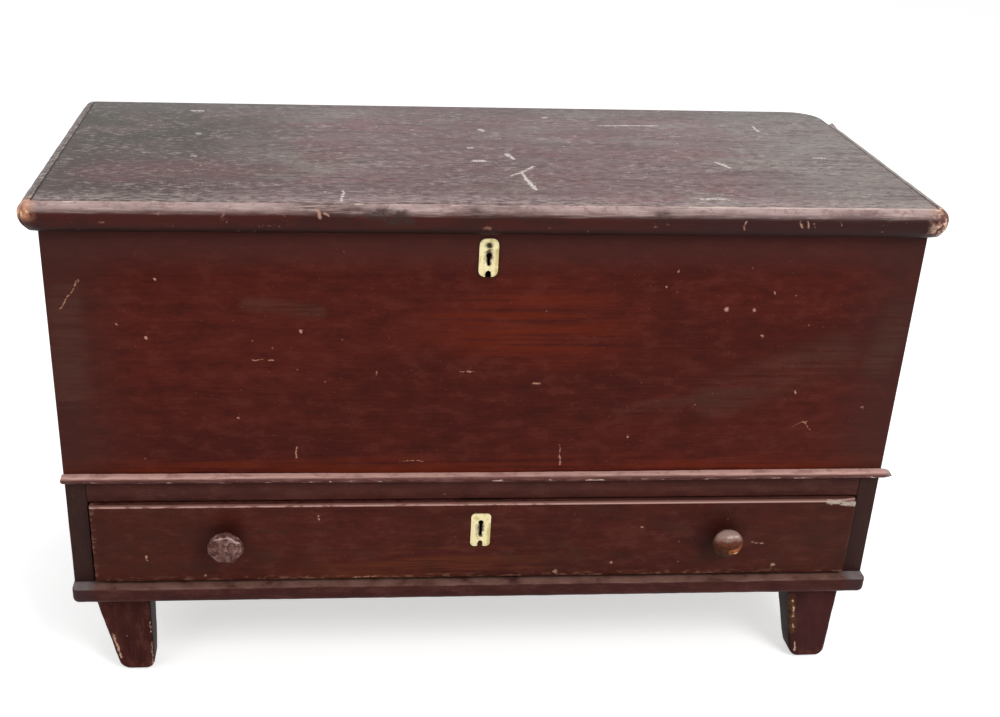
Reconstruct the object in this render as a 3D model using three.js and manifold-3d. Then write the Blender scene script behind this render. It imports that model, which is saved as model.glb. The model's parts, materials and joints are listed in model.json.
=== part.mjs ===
// An antique mule chest: a lidded well over one long drawer, on four tapered feet.
// Millimetres. X runs to the viewer's right, Y to the back and Z up from the floor.
// Sizes are worked out with Y = 0 on the front of the case, and the whole chest is moved to its origin last.

import * as THREE from "three";
import { mergeVertices } from "three/addons/utils/BufferGeometryUtils.js";
import Module from "manifold-3d";

const wasm = await Module();
wasm.setup();

// Clearances
const jointGap = 0.2; // glue and nail lines between fixed pieces
const runGap = 0.3; // between pieces that slide or turn on each other
const overrun = 6; // how far a cutter runs past the face that it opens
const weldDistance = 1e-4;

// Case: nailed boards, the front and back lapped over the edges of the sides
const caseWidth = 1016;
const caseDepth = 438;
const sideThickness = 25;
const frontThickness = 22;
const frontBoardHeight = 332;
const backThickness = 20;
const floorThickness = 18;
const railHeight = 28.5;
const railDepth = 45;
const ledgerWidth = 22;
const backLedgerHeight = 20;
const backSeamShare = 0.47; // height of the seam between the two back boards, as a share of the back

// Base board and feet
const baseThickness = 22.5;
const baseNosing = 19; // how far the base board stands forward of the case
const baseEndProud = 1;
const baseRound = 6.5;
const footHeight = 116.5;
const footWidth = 71;
const footDepth = 62;
const footSetback = 2;
const footCornerRound = 7;
const footSoleRound = 9;
const footSoleInset = 8;
const footTenonRadius = 15;
const footDepthTaper = 26; // lost from the foot's inward face, front to back
const footInset = { left: 21, right: 23 }; // from the side of the case, hand set
const footTaper = { left: [27, 0], right: [19, 5] }; // lost from the foot's left and right faces

// Waist moulding
const waistHeight = 11;
const waistReach = 11;
const waistProud = { left: 3, right: 11 }; // how far each end runs past the case

// Lid: one board with a nosed moulding on its front and both ends
const lidThickness = 21;
const lidSeat = 0.3;
const lidEase = 4; // the board's oversail, which keeps the mouldings clear of the case
const lidBackOversail = 12;
const lidWornCorner = 42; // the board's back right corner
const noseThickness = 17;
const noseHeight = 35;
const noseRound = 16;
const noseCorner = { frontLeft: 18, frontRight: 26, backLeft: 10 };
const noseBroken = 62; // lost from the back end of the right moulding

// Drawer: dovetailed to its front, nailed at the back
const drawerSideGap = 3;
const drawerFloorGap = 4.5;
const drawerHeadGap = 2.5;
const drawerProud = 9;
const drawerBackRoom = 25; // from the drawer's back to the back board
const drawerFrontHeight = 108;
const drawerFrontThickness = 22;
const drawerSideThickness = 12;
const drawerSideDrop = 2; // below the top of the front
const drawerBackThickness = 14;
const drawerBackDrop = 10;
const drawerBottomThickness = 8;
const drawerBottomRaise = 10;
const drawerGrooveDepth = 6;
const dovetailLap = 6; // wood left over the ends of the tails
const dovetailTip = 20;
const dovetailNeck = 15;
const dovetailShares = [1 / 6, 1 / 2, 5 / 6]; // heights of the tails on the drawer's side
const runnerWidth = 22;
const runnerSetback = 30;
const stopWidth = 40;
const stopHeight = 16;
const stopInset = 180; // from the side of the case to the middle of the stop

// Turned knobs
const knobRise = { left: 8, right: 5 }; // above the middle of the drawer
const knobInset = { left: 164.5, right: 167.5 }; // from the end of the drawer front
const knobRadius = { left: 21, right: 19.9 };
const knobFaceRadius = { left: 18, right: 0 }; // the flat in the middle of the face
const knobSwell = { left: 5.5, right: 9 }; // from the face back to the rim
const knobReach = 30;
const knobBack = 9; // from the rim back to the neck
const knobNeckRadius = 10.5;
const knobFootRadius = 13;
const knobFootThickness = 1.5;
const knobTenonRadius = 7;
const knobPipRadius = 2.4;
const knobPipReach = 0.8;

// Hinges: iron butts let into the back board's edge and the lid
const hingeInset = 178; // from the side of the case to the middle of the hinge
const hingeAxisOut = 1.5; // the pin's distance behind the back of the case
const leafLength = 64;
const leafThickness = 2;
const leafMargin = 1.5;
const knuckleRadius = 4;
const knuckleEase = 0.7;
const knuckleGap = 0.6; // along the pin
const knuckleRootShare = 0.8; // how far a leaf's plate runs in under its knuckles
const middleKnuckleShare = 0.38;
const hingePinRadius = 1.7;
const pinClearance = 0.35;
const pinProud = 1;
const hingeScrewShare = 0.34; // place of each screw along the leaf, from its middle

// Screws
const screwHeadRadius = 3.4;
const screwHeadDepth = 1.8;
const screwShankRadius = 1.5;
const screwSlotWidth = 0.9;
const screwSlotDepth = 0.8;
const hingeScrewLength = 12;
const biteShare = 0.6; // of the wood left in front of a lock, taken by its screws

// Escutcheons: thin brass plates, each with a keyhole and a broken-out lower screw hole
const plateThickness = 1.6;
const chestPlateWidth = 24;
const chestPlateHeight = 49;
const chestPlateDrop = 19.9; // from the rim of the case down to the plate
const drawerPlateWidth = 25;
const drawerPlateHeight = 48;
const drawerPlateDrop = 14;
const drawerPlateCorner = 7.5;
const plateScrewDrop = 8.3;
const plateScrewHeadRadius = 2.9;
const notchWidth = 6;
const notchDepth = 8;
const keyRoundRadius = 3.5;
const keySlotWidth = 3.4;
const chestKeyDrop = 21.5; // from the plate's top to the middle of the keyhole's round
const chestKeyTail = 13;
const drawerKeyDrop = 12.5;
const drawerKeyTail = 20;

// Chest lock: mortised into the front board, with a staple on the lid that its bolt passes through
const chestLockX = -6;
const lockWidth = 70;
const lockHeight = 60;
const lockThickness = 13;
const lockScrewInset = 6;
const boltThickness = 4;
const boltHeight = 7;
const boltLength = 26;
const boltTailWidth = 12;
const boltTailDrop = 18;
const boltTalon = 4;
const boltTravel = 8;
const boltHeadDrop = 6; // from the top of the lock to the bolt
const boltPlay = 0.6; // round a thrown bolt
const stapleWidth = 4;
const stapleDepth = 9;
const stapleWire = 2;
const stapleBelow = 3.5; // metal left under the staple's eye
const stapleEase = 1;
const staplePlateLength = 44;
const staplePlateDepth = 14;
const staplePlateThickness = 2;
const stapleScrewShare = 0.36;

// Drawer lock: mortised into the drawer front, with a bolt that rises into the rail
const drawerLockX = 0;
const drawerLockWidth = 56;
const drawerLockHeight = 50;
const drawerLockThickness = 12;
const drawerBoltWidth = 22;
const drawerBoltHeight = 23;
const drawerTalonWidth = 12;
const drawerTalonHeight = 9;
const railMortiseDepth = 9;

// How finely curves are cut
const arcSteps = 8;
const cornerSteps = 3;
const turnSteps = 36;
const boreSteps = 28;
const pinSteps = 12;
const quarterTurn = Math.PI / 2;

// Places that follow from the sizes
const halfCase = caseWidth / 2;
const innerHalf = halfCase - sideThickness;
const backInner = caseDepth - backThickness;
const baseTop = footHeight + baseThickness;
const drawerBottom = baseTop + drawerFloorGap;
const drawerTop = drawerBottom + drawerFrontHeight;
const openingTop = drawerTop + drawerHeadGap;
const frontBottom = openingTop + railHeight;
const rim = frontBottom + frontBoardHeight;
const lidBottom = rim + lidSeat;
const lidHalf = halfCase + lidEase;
const lidFront = -lidEase;
const lidBack = caseDepth + lidBackOversail;
const lidOuterHalf = lidHalf + noseThickness;
const lidOuterFront = lidFront - noseThickness;
const drawerHalf = innerHalf - drawerSideGap;
const drawerInner = drawerHalf - drawerSideThickness;
const drawerDepth = backInner + drawerProud - drawerBackRoom;
const drawerSideHeight = drawerFrontHeight - drawerSideDrop;
const hingeX = halfCase - hingeInset;
const hingeAxisY = caseDepth + hingeAxisOut;
const hingeAxisZ = rim + lidSeat / 2;
const leafReach = hingeAxisOut + backThickness - leafMargin;
const stapleY = frontThickness - lockThickness / 2;
const stapleDrop = boltHeadDrop + boltHeight + boltPlay + stapleBelow;
const chestPlateTop = rim - chestPlateDrop;
const chestPlateBottom = chestPlateTop - chestPlateHeight;
const chestKeyZ = chestPlateTop - chestKeyDrop;
const drawerPlateTop = drawerFrontHeight - drawerPlateDrop;
const drawerPlateBottom = drawerPlateTop - drawerPlateHeight;
const drawerKeyZ = drawerPlateTop - drawerKeyDrop;

// Finishes, from the photograph
const finishes = {
  casePaint: { color: 0x4a1a17, roughness: 0.5, metalness: 0 },
  lidPaint: { color: 0x5a4644, roughness: 0.65, metalness: 0 },
  bareWood: { color: 0x9c7448, roughness: 0.8, metalness: 0 },
  brass: { color: 0xc9b57a, roughness: 0.4, metalness: 1 },
  iron: { color: 0x2e2b29, roughness: 0.6, metalness: 1 },
};

// A closed geometry as a solid that can be joined and cut
function solidOf(geometry) {
  const bare = geometry.clone();
  bare.deleteAttribute("normal");
  bare.deleteAttribute("uv");
  const welded = mergeVertices(bare, weldDistance);
  const mesh = new wasm.Mesh({
    numProp: 3,
    vertProperties: welded.attributes.position.array,
    triVerts: new Uint32Array(welded.index.array),
  });
  return new wasm.Manifold(mesh);
}

function geometryOf(solid) {
  const mesh = solid.getMesh();
  const geometry = new THREE.BufferGeometry();
  geometry.setAttribute("position", new THREE.BufferAttribute(mesh.vertProperties, 3));
  geometry.setIndex(new THREE.BufferAttribute(mesh.triVerts, 1));
  return geometry.toNonIndexed();
}

function cut(geometry, ...tools) {
  return geometryOf(tools.reduce((solid, tool) => solid.subtract(solidOf(tool)), solidOf(geometry)));
}

function join(geometry, ...others) {
  return geometryOf(others.reduce((solid, other) => solid.add(solidOf(other)), solidOf(geometry)));
}

function common(geometry, ...others) {
  return geometryOf(others.reduce((solid, other) => solid.intersect(solidOf(other)), solidOf(geometry)));
}

// Spans along an axis, as [lowest, highest]
function between(a, b) {
  return [Math.min(a, b), Math.max(a, b)];
}

function about(middle, length) {
  return [middle - length / 2, middle + length / 2];
}

function grown([from, to], amount) {
  return [from - amount, to + amount];
}

// A rectangular block between two places on each axis
function block([x0, x1], [y0, y1], [z0, z1]) {
  const box = new THREE.BoxGeometry(x1 - x0, y1 - y0, z1 - z0);
  return box.translate((x0 + x1) / 2, (y0 + y1) / 2, (z0 + z1) / 2);
}

function polygon(points) {
  return new THREE.Shape(points.map(([u, v]) => new THREE.Vector2(u, v)));
}

function pushed(shape, length) {
  return new THREE.ExtrudeGeometry(shape, { depth: length, bevelEnabled: false, curveSegments: arcSteps });
}

// A section drawn in Y and Z, run along X
function alongX(shape, [from, to]) {
  const turn = new THREE.Matrix4().makeBasis(
    new THREE.Vector3(0, 1, 0),
    new THREE.Vector3(0, 0, 1),
    new THREE.Vector3(1, 0, 0),
  );
  return pushed(shape, to - from).applyMatrix4(turn).translate(from, 0, 0);
}

// A section drawn in X and Z, run along Y
function alongY(shape, [from, to]) {
  return pushed(shape, to - from).rotateX(quarterTurn).translate(0, to, 0);
}

// A section drawn in X and Y, run up Z
function alongZ(shape, [from, to]) {
  return pushed(shape, to - from).translate(0, 0, from);
}

// A strip's section with one rounded nose: its tip at edge, facing side, and its flat face at back
function noseSection(edge, side, reach, back, [low, high]) {
  const centre = edge - side * reach;
  const shape = new THREE.Shape();
  shape.moveTo(back, low);
  shape.lineTo(centre, low);
  const start = side > 0 ? -quarterTurn : 3 * quarterTurn;
  shape.absellipse(centre, (low + high) / 2, reach, (high - low) / 2, start, quarterTurn, side < 0);
  shape.lineTo(back, high);
  return shape;
}

// A rectangle whose corners have their own radii, anticlockwise from the one at x0, y0
function roundedPlan([x0, x1], [y0, y1], radii) {
  const corners = [[x0, y0], [x1, y0], [x1, y1], [x0, y1]];
  const shape = new THREE.Shape();
  shape.moveTo(x0, y0 + radii[0]);
  corners.forEach(([x, y], i) => {
    const r = radii[i];
    const start = Math.PI * (1 + i / 2);
    if (r > 0) {
      shape.absarc(x === x0 ? x + r : x - r, y === y0 ? y + r : y - r, r, start, start + quarterTurn, false);
    } else {
      shape.lineTo(x, y);
    }
  });
  return shape;
}

// A turned piece about the Y axis, from [radius, place] pairs that start and end on the axis
function turned(profile, steps) {
  return new THREE.LatheGeometry(profile.map(([r, y]) => new THREE.Vector2(r, y)), steps);
}

function rod(radius, [from, to], steps) {
  return turned([[0, from], [radius, from], [radius, to], [0, to]], steps);
}

// Puts a mesh in a group, with its own origin in the middle of its box
function place(group, name, finish, geometry) {
  geometry.computeBoundingBox();
  const middle = geometry.boundingBox.getCenter(new THREE.Vector3());
  geometry.translate(-middle.x, -middle.y, -middle.z);
  geometry.computeVertexNormals();
  const mesh = new THREE.Mesh(geometry, new THREE.MeshStandardMaterial(finishes[finish]));
  mesh.name = name;
  mesh.position.copy(middle);
  group.add(mesh);
}

// Screws: a slotted countersunk head whose face lies at the origin, with the shank down the -Y axis
function screw(length, headRadius) {
  const body = turned(
    [
      [0, -length],
      [screwShankRadius, -length],
      [screwShankRadius, -screwHeadDepth],
      [headRadius, 0],
      [0, 0],
    ],
    pinSteps,
  );
  const slot = block([-overrun, overrun], [-screwSlotDepth, overrun], about(0, screwSlotWidth));
  return cut(body, slot);
}

function screwHole(length, headRadius) {
  const end = -length - jointGap;
  const shank = screwShankRadius + jointGap;
  const head = headRadius + jointGap;
  return turned(
    [[0, end], [shank, end], [shank, -screwHeadDepth], [head, 0], [head, overrun], [0, overrun]],
    pinSteps,
  );
}

// The turn about X that makes a screw's shank point down, up, to the front or to the back
const shankTurn = { down: quarterTurn, up: -quarterTurn, front: 0, back: Math.PI };

function driven(geometry, direction, [x, y, z]) {
  return geometry.rotateX(shankTurn[direction]).translate(x, y, z);
}

// A keyhole in X and Z: a round with a slot that runs down from it
function keyhole(x, z, tail, depth) {
  const meet = Math.asin(keySlotWidth / 2 / keyRoundRadius);
  const [slotLeft, slotRight] = about(x, keySlotWidth);
  const shape = new THREE.Shape();
  shape.moveTo(slotLeft, z - tail);
  shape.lineTo(slotRight, z - tail);
  shape.absarc(x, z, keyRoundRadius, -quarterTurn + meet, 3 * quarterTurn - meet, false);
  return alongY(shape, [-overrun, depth]);
}

// The broken-out lower screw hole of an escutcheon, open at the plate's lower edge
function notch(x, bottom) {
  const top = bottom + notchDepth - notchWidth / 2;
  const slot = block(about(x, notchWidth), [-overrun, overrun], [bottom - overrun, top]);
  return join(slot, rod(notchWidth / 2, [-overrun, overrun], pinSteps).translate(x, 0, top));
}

const chest = new THREE.Group();
const caseGroup = new THREE.Group();
const lidGroup = new THREE.Group();
const drawerGroup = new THREE.Group();
lidGroup.position.set(0, 0, lidBottom);
drawerGroup.position.set(0, -drawerProud, drawerBottom);
chest.add(caseGroup, lidGroup, drawerGroup);

const ends = [["left", -1], ["right", 1]];

// Side boards: their front edges stand beside the drawer and are cut back above it for the front board
for (const [end, side] of ends) {
  const section = polygon([
    [0, baseTop + jointGap],
    [backInner, baseTop + jointGap],
    [backInner, rim],
    [frontThickness + jointGap, rim],
    [frontThickness + jointGap, frontBottom],
    [0, frontBottom],
  ]);
  const board = alongX(section, between(side * innerHalf, side * halfCase));
  place(caseGroup, `side_board_${end}`, "casePaint", board);
}

// The chest lock's place in the front board, its keyhole and its screws
const lockX = about(chestLockX, lockWidth);
const lockFront = frontThickness - lockThickness;
const lockMortise = block(
  grown(lockX, jointGap),
  [lockFront - jointGap, frontThickness + overrun],
  [rim - lockHeight - jointGap, rim + overrun],
);
const chestKeyhole = keyhole(chestLockX, chestKeyZ, chestKeyTail, stapleY);
const lockScrewLength = lockThickness + lockFront * biteShare;
const lockScrewPlaces = grown(lockX, -lockScrewInset).map((x) => [
  x,
  frontThickness,
  rim - lockHeight + lockScrewInset,
]);

function lockScrewHoles() {
  return lockScrewPlaces.map((at) => driven(screwHole(lockScrewLength, screwHeadRadius), "front", at));
}

// The screw in the top of the chest escutcheon
const plateScrewLength = plateThickness + lockFront * biteShare;
const plateScrewPlace = [chestLockX, -plateThickness - jointGap, chestPlateTop - plateScrewDrop];

function plateScrewHole() {
  return driven(screwHole(plateScrewLength, plateScrewHeadRadius), "back", plateScrewPlace);
}

// Front board of the well
const frontBoard = block([-halfCase, halfCase], [0, frontThickness], [frontBottom + jointGap, rim]);
place(
  caseGroup,
  "front_board",
  "casePaint",
  cut(frontBoard, lockMortise, chestKeyhole, plateScrewHole(), ...lockScrewHoles()),
);

// Rail over the drawer, with a mortise for the drawer lock's bolt
const drawerBoltMiddle = drawerFrontThickness - drawerLockThickness / 2;
const railMortise = block(
  grown(about(drawerLockX, drawerBoltWidth), boltPlay),
  grown(about(drawerBoltMiddle - drawerProud, boltThickness), boltPlay),
  [openingTop - overrun, openingTop + railMortiseDepth],
);
const railSpan = grown([-innerHalf, innerHalf], -jointGap);
const rail = block(railSpan, [0, railDepth], [openingTop, frontBottom]);
place(caseGroup, "drawer_rail", "casePaint", cut(rail, railMortise));

// Floor of the well, carried by the rail and by ledgers on the sides and back
place(
  caseGroup,
  "chest_floor",
  "bareWood",
  block(
    railSpan,
    [frontThickness + jointGap, backInner],
    [frontBottom + jointGap, frontBottom + floorThickness],
  ),
);
for (const [end, side] of ends) {
  const across = between(side * (innerHalf - jointGap), side * (innerHalf - ledgerWidth));
  const ledger = block(across, [railDepth + jointGap, backInner], [openingTop, frontBottom]);
  place(caseGroup, `floor_ledger_${end}`, "bareWood", ledger);
}
place(
  caseGroup,
  "floor_ledger_back",
  "bareWood",
  block(
    grown(railSpan, -ledgerWidth),
    [backInner - ledgerWidth, backInner],
    [frontBottom - backLedgerHeight, frontBottom],
  ),
);

// Hinges, each worked out about its own pin: X along the pin, Y to the back. The lower leaf is the case's
// and the upper leaf the lid's. The same functions make both: side is -1 for the lower, 1 for the upper.
const leafSpan = about(0, leafLength);
const leafFace = lidSeat / 2;
const knuckleRoom = knuckleRadius + knuckleEase;
const hingeScrewX = leafLength * hingeScrewShare;
const middleKnuckle = about(0, leafLength * middleKnuckleShare);
const outerKnuckles = [
  [leafSpan[0], middleKnuckle[0] - knuckleGap],
  [middleKnuckle[1] + knuckleGap, leafSpan[1]],
];

function hingeScrews(make, side) {
  const y = -(leafReach + knuckleRoom) / 2;
  const direction = side < 0 ? "down" : "up";
  return [-hingeScrewX, hingeScrewX].map((x) =>
    driven(make(hingeScrewLength, screwHeadRadius), direction, [x, y, side * leafFace]),
  );
}

// What a hinge takes out of the board that carries one of its leaves
function hingeRoom(x, side) {
  const along = grown(leafSpan, pinProud + jointGap);
  const open = -side * (leafFace + overrun);
  const rear = side < 0 ? knuckleRoom + overrun : knuckleRoom;
  const room = [
    block(along, [-leafReach - jointGap, rear], between(open, side * (leafFace + leafThickness + jointGap))),
    block(along, [-knuckleRoom, rear], between(open, side * knuckleRoom)),
    ...hingeScrews(screwHole, side),
  ];
  return room.map((tool) => tool.translate(x, 0, 0));
}

// One leaf: a plate, its knuckles about the pin, and holes for two screws
function hingeLeaf(side) {
  const own = side < 0 ? outerKnuckles : [middleKnuckle];
  const others = side < 0 ? [middleKnuckle] : outerKnuckles;
  const plate = block(
    leafSpan,
    [-leafReach, -knuckleRadius * knuckleRootShare],
    between(side * leafFace, side * (leafFace + leafThickness)),
  );
  const clear = others.map((span) => {
    const [from, to] = grown(span, knuckleGap);
    return block([from, to], [-knuckleRoom, knuckleRoom], [-knuckleRoom, knuckleRoom]);
  });
  const barrels = own.map((span) => rod(knuckleRadius, span, pinSteps).rotateZ(-quarterTurn));
  const bore = rod(hingePinRadius + pinClearance, grown(leafSpan, overrun), pinSteps).rotateZ(-quarterTurn);
  return cut(join(cut(plate, ...clear), ...barrels), bore, ...hingeScrews(screwHole, side));
}

for (const [end, side] of ends) {
  const hinge = new THREE.Group();
  hinge.position.set(side * hingeX, hingeAxisY, hingeAxisZ);
  chest.add(hinge);
  place(hinge, `hinge_${end}_case_leaf`, "iron", hingeLeaf(-1));
  place(hinge, `hinge_${end}_lid_leaf`, "iron", hingeLeaf(1));
  const pin = rod(hingePinRadius, grown(leafSpan, pinProud), pinSteps).rotateZ(-quarterTurn);
  place(hinge, `hinge_${end}_pin`, "iron", pin);
  hingeScrews(screw, -1).forEach((s, i) => place(hinge, `hinge_${end}_case_screw_${i + 1}`, "iron", s));
  hingeScrews(screw, 1).forEach((s, i) => place(hinge, `hinge_${end}_lid_screw_${i + 1}`, "iron", s));
}

function hingeRooms(side, axisZ) {
  return [-hingeX, hingeX]
    .flatMap((x) => hingeRoom(x, side))
    .map((tool) => tool.translate(0, hingeAxisY, axisZ));
}

// Two wide back boards, nailed over the sides; the upper one carries the hinges
const backSeam = baseTop + (rim - baseTop) * backSeamShare;
const backSpan = [backInner + jointGap, caseDepth];
const upperBack = block([-halfCase, halfCase], backSpan, [backSeam + jointGap, rim]);
const lowerBack = block([-halfCase, halfCase], backSpan, [baseTop + jointGap, backSeam]);
place(caseGroup, "back_board_upper", "casePaint", cut(upperBack, ...hingeRooms(-1, hingeAxisZ)));
place(caseGroup, "back_board_lower", "casePaint", lowerBack);

// Waist moulding: a nosed strip on the front only, its ends shaped to the same nose
const waistSpan = [frontBottom, frontBottom + waistHeight];
const waistMiddle = frontBottom + waistHeight / 2;
const waistSection = noseSection(-waistReach, -1, waistReach - jointGap - jointGap, -jointGap, waistSpan);
const waistRise = waistHeight / 2;
const waistEnds = new THREE.Shape();
for (const [end, side] of ends) {
  const start = -side * quarterTurn;
  const stop = start + 2 * quarterTurn;
  waistEnds.absellipse(side * halfCase, waistMiddle, waistProud[end], waistRise, start, stop, false);
}
place(
  caseGroup,
  "waist_moulding",
  "casePaint",
  common(
    alongX(waistSection, [-halfCase - waistProud.left, halfCase + waistProud.right]),
    alongY(waistEnds, [-waistReach - overrun, overrun]),
  ),
);

// Where each foot stands: the X and Y spans of its top
const feet = ["front", "back"].flatMap((row) =>
  ends.map(([end, side]) => {
    const outer = side * (halfCase - footInset[end]);
    const front = row === "front" ? footSetback : caseDepth - footSetback - footDepth;
    const x = between(outer, outer - side * footWidth);
    return { name: `foot_${row}_${end}`, row, end, x, y: [front, front + footDepth] };
  }),
);

// A foot's section at one height: a rectangle with worn corners
function footRing([x0, x1], [y0, y1], z) {
  const r = footCornerRound;
  const corners = [[x1 - r, y0 + r], [x1 - r, y1 - r], [x0 + r, y1 - r], [x0 + r, y0 + r]];
  return corners.flatMap(([x, y], i) =>
    Array.from({ length: cornerSteps + 1 }, (_, step) => {
      const angle = (i - 1 + step / cornerSteps) * quarterTurn;
      return new THREE.Vector3(x + r * Math.cos(angle), y + r * Math.sin(angle), z);
    }),
  );
}

// A solid skin over rings of points that each run anticlockwise, from the lowest ring to the highest
function loft(rings) {
  const count = rings[0].length;
  const last = (rings.length - 1) * count;
  const faces = [];
  for (let start = 0; start < last; start += count) {
    for (let i = 0; i < count; i++) {
      const a = start + i;
      const b = start + ((i + 1) % count);
      faces.push(a, b, b + count, a, b + count, a + count);
    }
  }
  for (let i = 1; i + 1 < count; i++) {
    faces.push(0, i + 1, i);
    faces.push(last, last + i, last + i + 1);
  }
  const geometry = new THREE.BufferGeometry().setFromPoints(rings.flat());
  geometry.setIndex(faces);
  return geometry.toNonIndexed();
}

function tenon({ x, y }, radius, span) {
  const middle = [(x[0] + x[1]) / 2, (y[0] + y[1]) / 2];
  return rod(radius, span, boreSteps).rotateX(quarterTurn).translate(...middle, 0);
}

// A tapered foot with a worn sole and a round tenon up into the base board
function footGeometry(foot) {
  const top = footHeight - jointGap;
  const [fromLeft, fromRight] = footTaper[foot.end];
  const [fromFront, fromBack] = foot.row === "front" ? [0, footDepthTaper] : [footDepthTaper, 0];
  const section = (z, inset) => {
    const down = (top - z) / top;
    const x = [foot.x[0] + fromLeft * down + inset, foot.x[1] - fromRight * down - inset];
    const y = [foot.y[0] + fromFront * down + inset, foot.y[1] - fromBack * down - inset];
    return footRing(x, y, z);
  };
  const sole = Array.from({ length: cornerSteps + 1 }, (_, step) => {
    const angle = (step / cornerSteps) * quarterTurn;
    return section(footSoleRound * (1 - Math.cos(angle)), footSoleInset * (1 - Math.sin(angle)));
  });
  const body = loft([...sole, section(top, 0)]);
  return join(body, tenon(foot, footTenonRadius, [top - overrun, baseTop - jointGap]));
}

for (const foot of feet) {
  place(caseGroup, foot.name, "casePaint", footGeometry(foot));
}

// Base board: it stands forward of the case, and its lower edge is rounded at the front and both ends
const baseHalf = halfCase + baseEndProud;
const baseRoundZ = footHeight + baseRound;
const baseSection = new THREE.Shape();
baseSection.moveTo(caseDepth, baseTop);
baseSection.lineTo(-baseNosing, baseTop);
baseSection.absarc(-baseNosing + baseRound, baseRoundZ, baseRound, Math.PI, 3 * quarterTurn, false);
baseSection.lineTo(caseDepth, footHeight);
const baseEnds = new THREE.Shape();
baseEnds.moveTo(baseHalf, baseTop);
baseEnds.lineTo(-baseHalf, baseTop);
baseEnds.absarc(-baseHalf + baseRound, baseRoundZ, baseRound, Math.PI, 3 * quarterTurn, false);
baseEnds.absarc(baseHalf - baseRound, baseRoundZ, baseRound, 3 * quarterTurn, 4 * quarterTurn, false);
const baseBoard = common(
  alongX(baseSection, [-baseHalf, baseHalf]),
  alongY(baseEnds, [-baseNosing - overrun, caseDepth + overrun]),
);
const tenonHoles = feet.map((foot) =>
  tenon(foot, footTenonRadius + jointGap, [footHeight - overrun, baseTop + overrun]),
);
place(caseGroup, "base_board", "casePaint", cut(baseBoard, ...tenonHoles));

// Runners that the drawer's sides slide on, and stops behind it
const baseSeat = baseTop + jointGap;
for (const [end, side] of ends) {
  const outer = innerHalf - jointGap;
  const across = between(side * outer, side * (outer - runnerWidth));
  const runner = block(across, [runnerSetback, backInner], [baseSeat, drawerBottom - runGap]);
  place(caseGroup, `drawer_runner_${end}`, "bareWood", runner);
  const stop = block(
    about(side * (halfCase - stopInset), stopWidth),
    [drawerDepth - drawerProud + runGap, backInner],
    [baseSeat, drawerBottom + stopHeight],
  );
  place(caseGroup, `drawer_stop_${end}`, "bareWood", stop);
}

// Chest lock: its box, with a slot for the staple, a run for the bolt and room for the key
const stapleX = about(chestLockX, stapleWidth);
const stapleSpan = about(stapleY, stapleDepth);
const stapleSlot = block(
  grown(stapleX, stapleEase),
  grown(stapleSpan, stapleEase),
  [rim - stapleDrop - stapleEase, rim + overrun],
);
const boltTop = rim - boltHeadDrop;
const boltRest = stapleX[1] + stapleEase + runGap;
const boltX = [boltRest, boltRest + boltLength];
const boltY = about(stapleY, boltThickness);
const tailX = about(boltRest + boltLength / 2, boltTailWidth);
const tailBottom = boltTop - boltHeight - boltTailDrop;
const boltRunY = grown(boltY, runGap);

function boltRun([from, to], bottom) {
  return block(grown([from - boltTravel, to], runGap), boltRunY, grown([bottom, boltTop], runGap));
}

const lockBox = block(lockX, [lockFront, frontThickness], [rim - lockHeight, rim]);
const keyRoom = rod(chestKeyTail, boltRunY, boreSteps).translate(chestLockX, 0, chestKeyZ);
place(
  caseGroup,
  "chest_lock_case",
  "iron",
  cut(
    lockBox,
    stapleSlot,
    boltRun(boltX, boltTop - boltHeight),
    boltRun(tailX, tailBottom),
    keyRoom,
    chestKeyhole,
    ...lockScrewHoles(),
  ),
);
lockScrewPlaces.forEach((at, i) => {
  const geometry = driven(screw(lockScrewLength, screwHeadRadius), "front", at);
  place(caseGroup, `chest_lock_screw_${i + 1}`, "iron", geometry);
});

// The lock's bolt, drawn back at rest, with a tail that the key pushes
const boltHead = block(boltX, boltY, [boltTop - boltHeight, boltTop]);
const boltTail = block(tailX, boltY, [tailBottom, boltTop]);
const talon = block(
  about(boltRest + boltLength / 2, boltTalon),
  grown(boltY, overrun),
  [tailBottom - overrun, tailBottom + boltTalon],
);
place(caseGroup, "chest_lock_bolt", "iron", cut(join(boltHead, boltTail), talon));

// Chest escutcheon: a plate with round ends
const plateSpan = [-plateThickness - jointGap, -jointGap];
const chestPlate = roundedPlan(
  about(chestLockX, chestPlateWidth),
  [chestPlateBottom, chestPlateTop],
  Array(4).fill(chestPlateWidth / 2),
);
place(
  caseGroup,
  "chest_escutcheon",
  "brass",
  cut(alongY(chestPlate, plateSpan), chestKeyhole, notch(chestLockX, chestPlateBottom), plateScrewHole()),
);
place(
  caseGroup,
  "chest_escutcheon_screw",
  "iron",
  driven(screw(plateScrewLength, plateScrewHeadRadius), "back", plateScrewPlace),
);

// Lid pieces, with Z = 0 on the underside of the lid's board
const staplePlateX = about(chestLockX, staplePlateLength);
const staplePlateY = about(stapleY, staplePlateDepth);
const stapleRecess = block(
  grown(staplePlateX, jointGap),
  grown(staplePlateY, jointGap),
  [-overrun, staplePlateThickness + jointGap],
);
const stapleScrewReach = staplePlateLength * stapleScrewShare;
const stapleScrewPlaces = [-stapleScrewReach, stapleScrewReach].map((x) => [chestLockX + x, stapleY, 0]);

function stapleScrewHoles() {
  return stapleScrewPlaces.map((at) => driven(screwHole(hingeScrewLength, screwHeadRadius), "up", at));
}

const lidPlan = roundedPlan([-lidHalf, lidHalf], [lidFront, lidBack], [0, 0, lidWornCorner, 0]);
place(
  lidGroup,
  "lid_board",
  "lidPaint",
  cut(
    alongZ(lidPlan, [0, lidThickness]),
    ...hingeRooms(1, hingeAxisZ - lidBottom),
    stapleRecess,
    ...stapleScrewHoles(),
  ),
);

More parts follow.
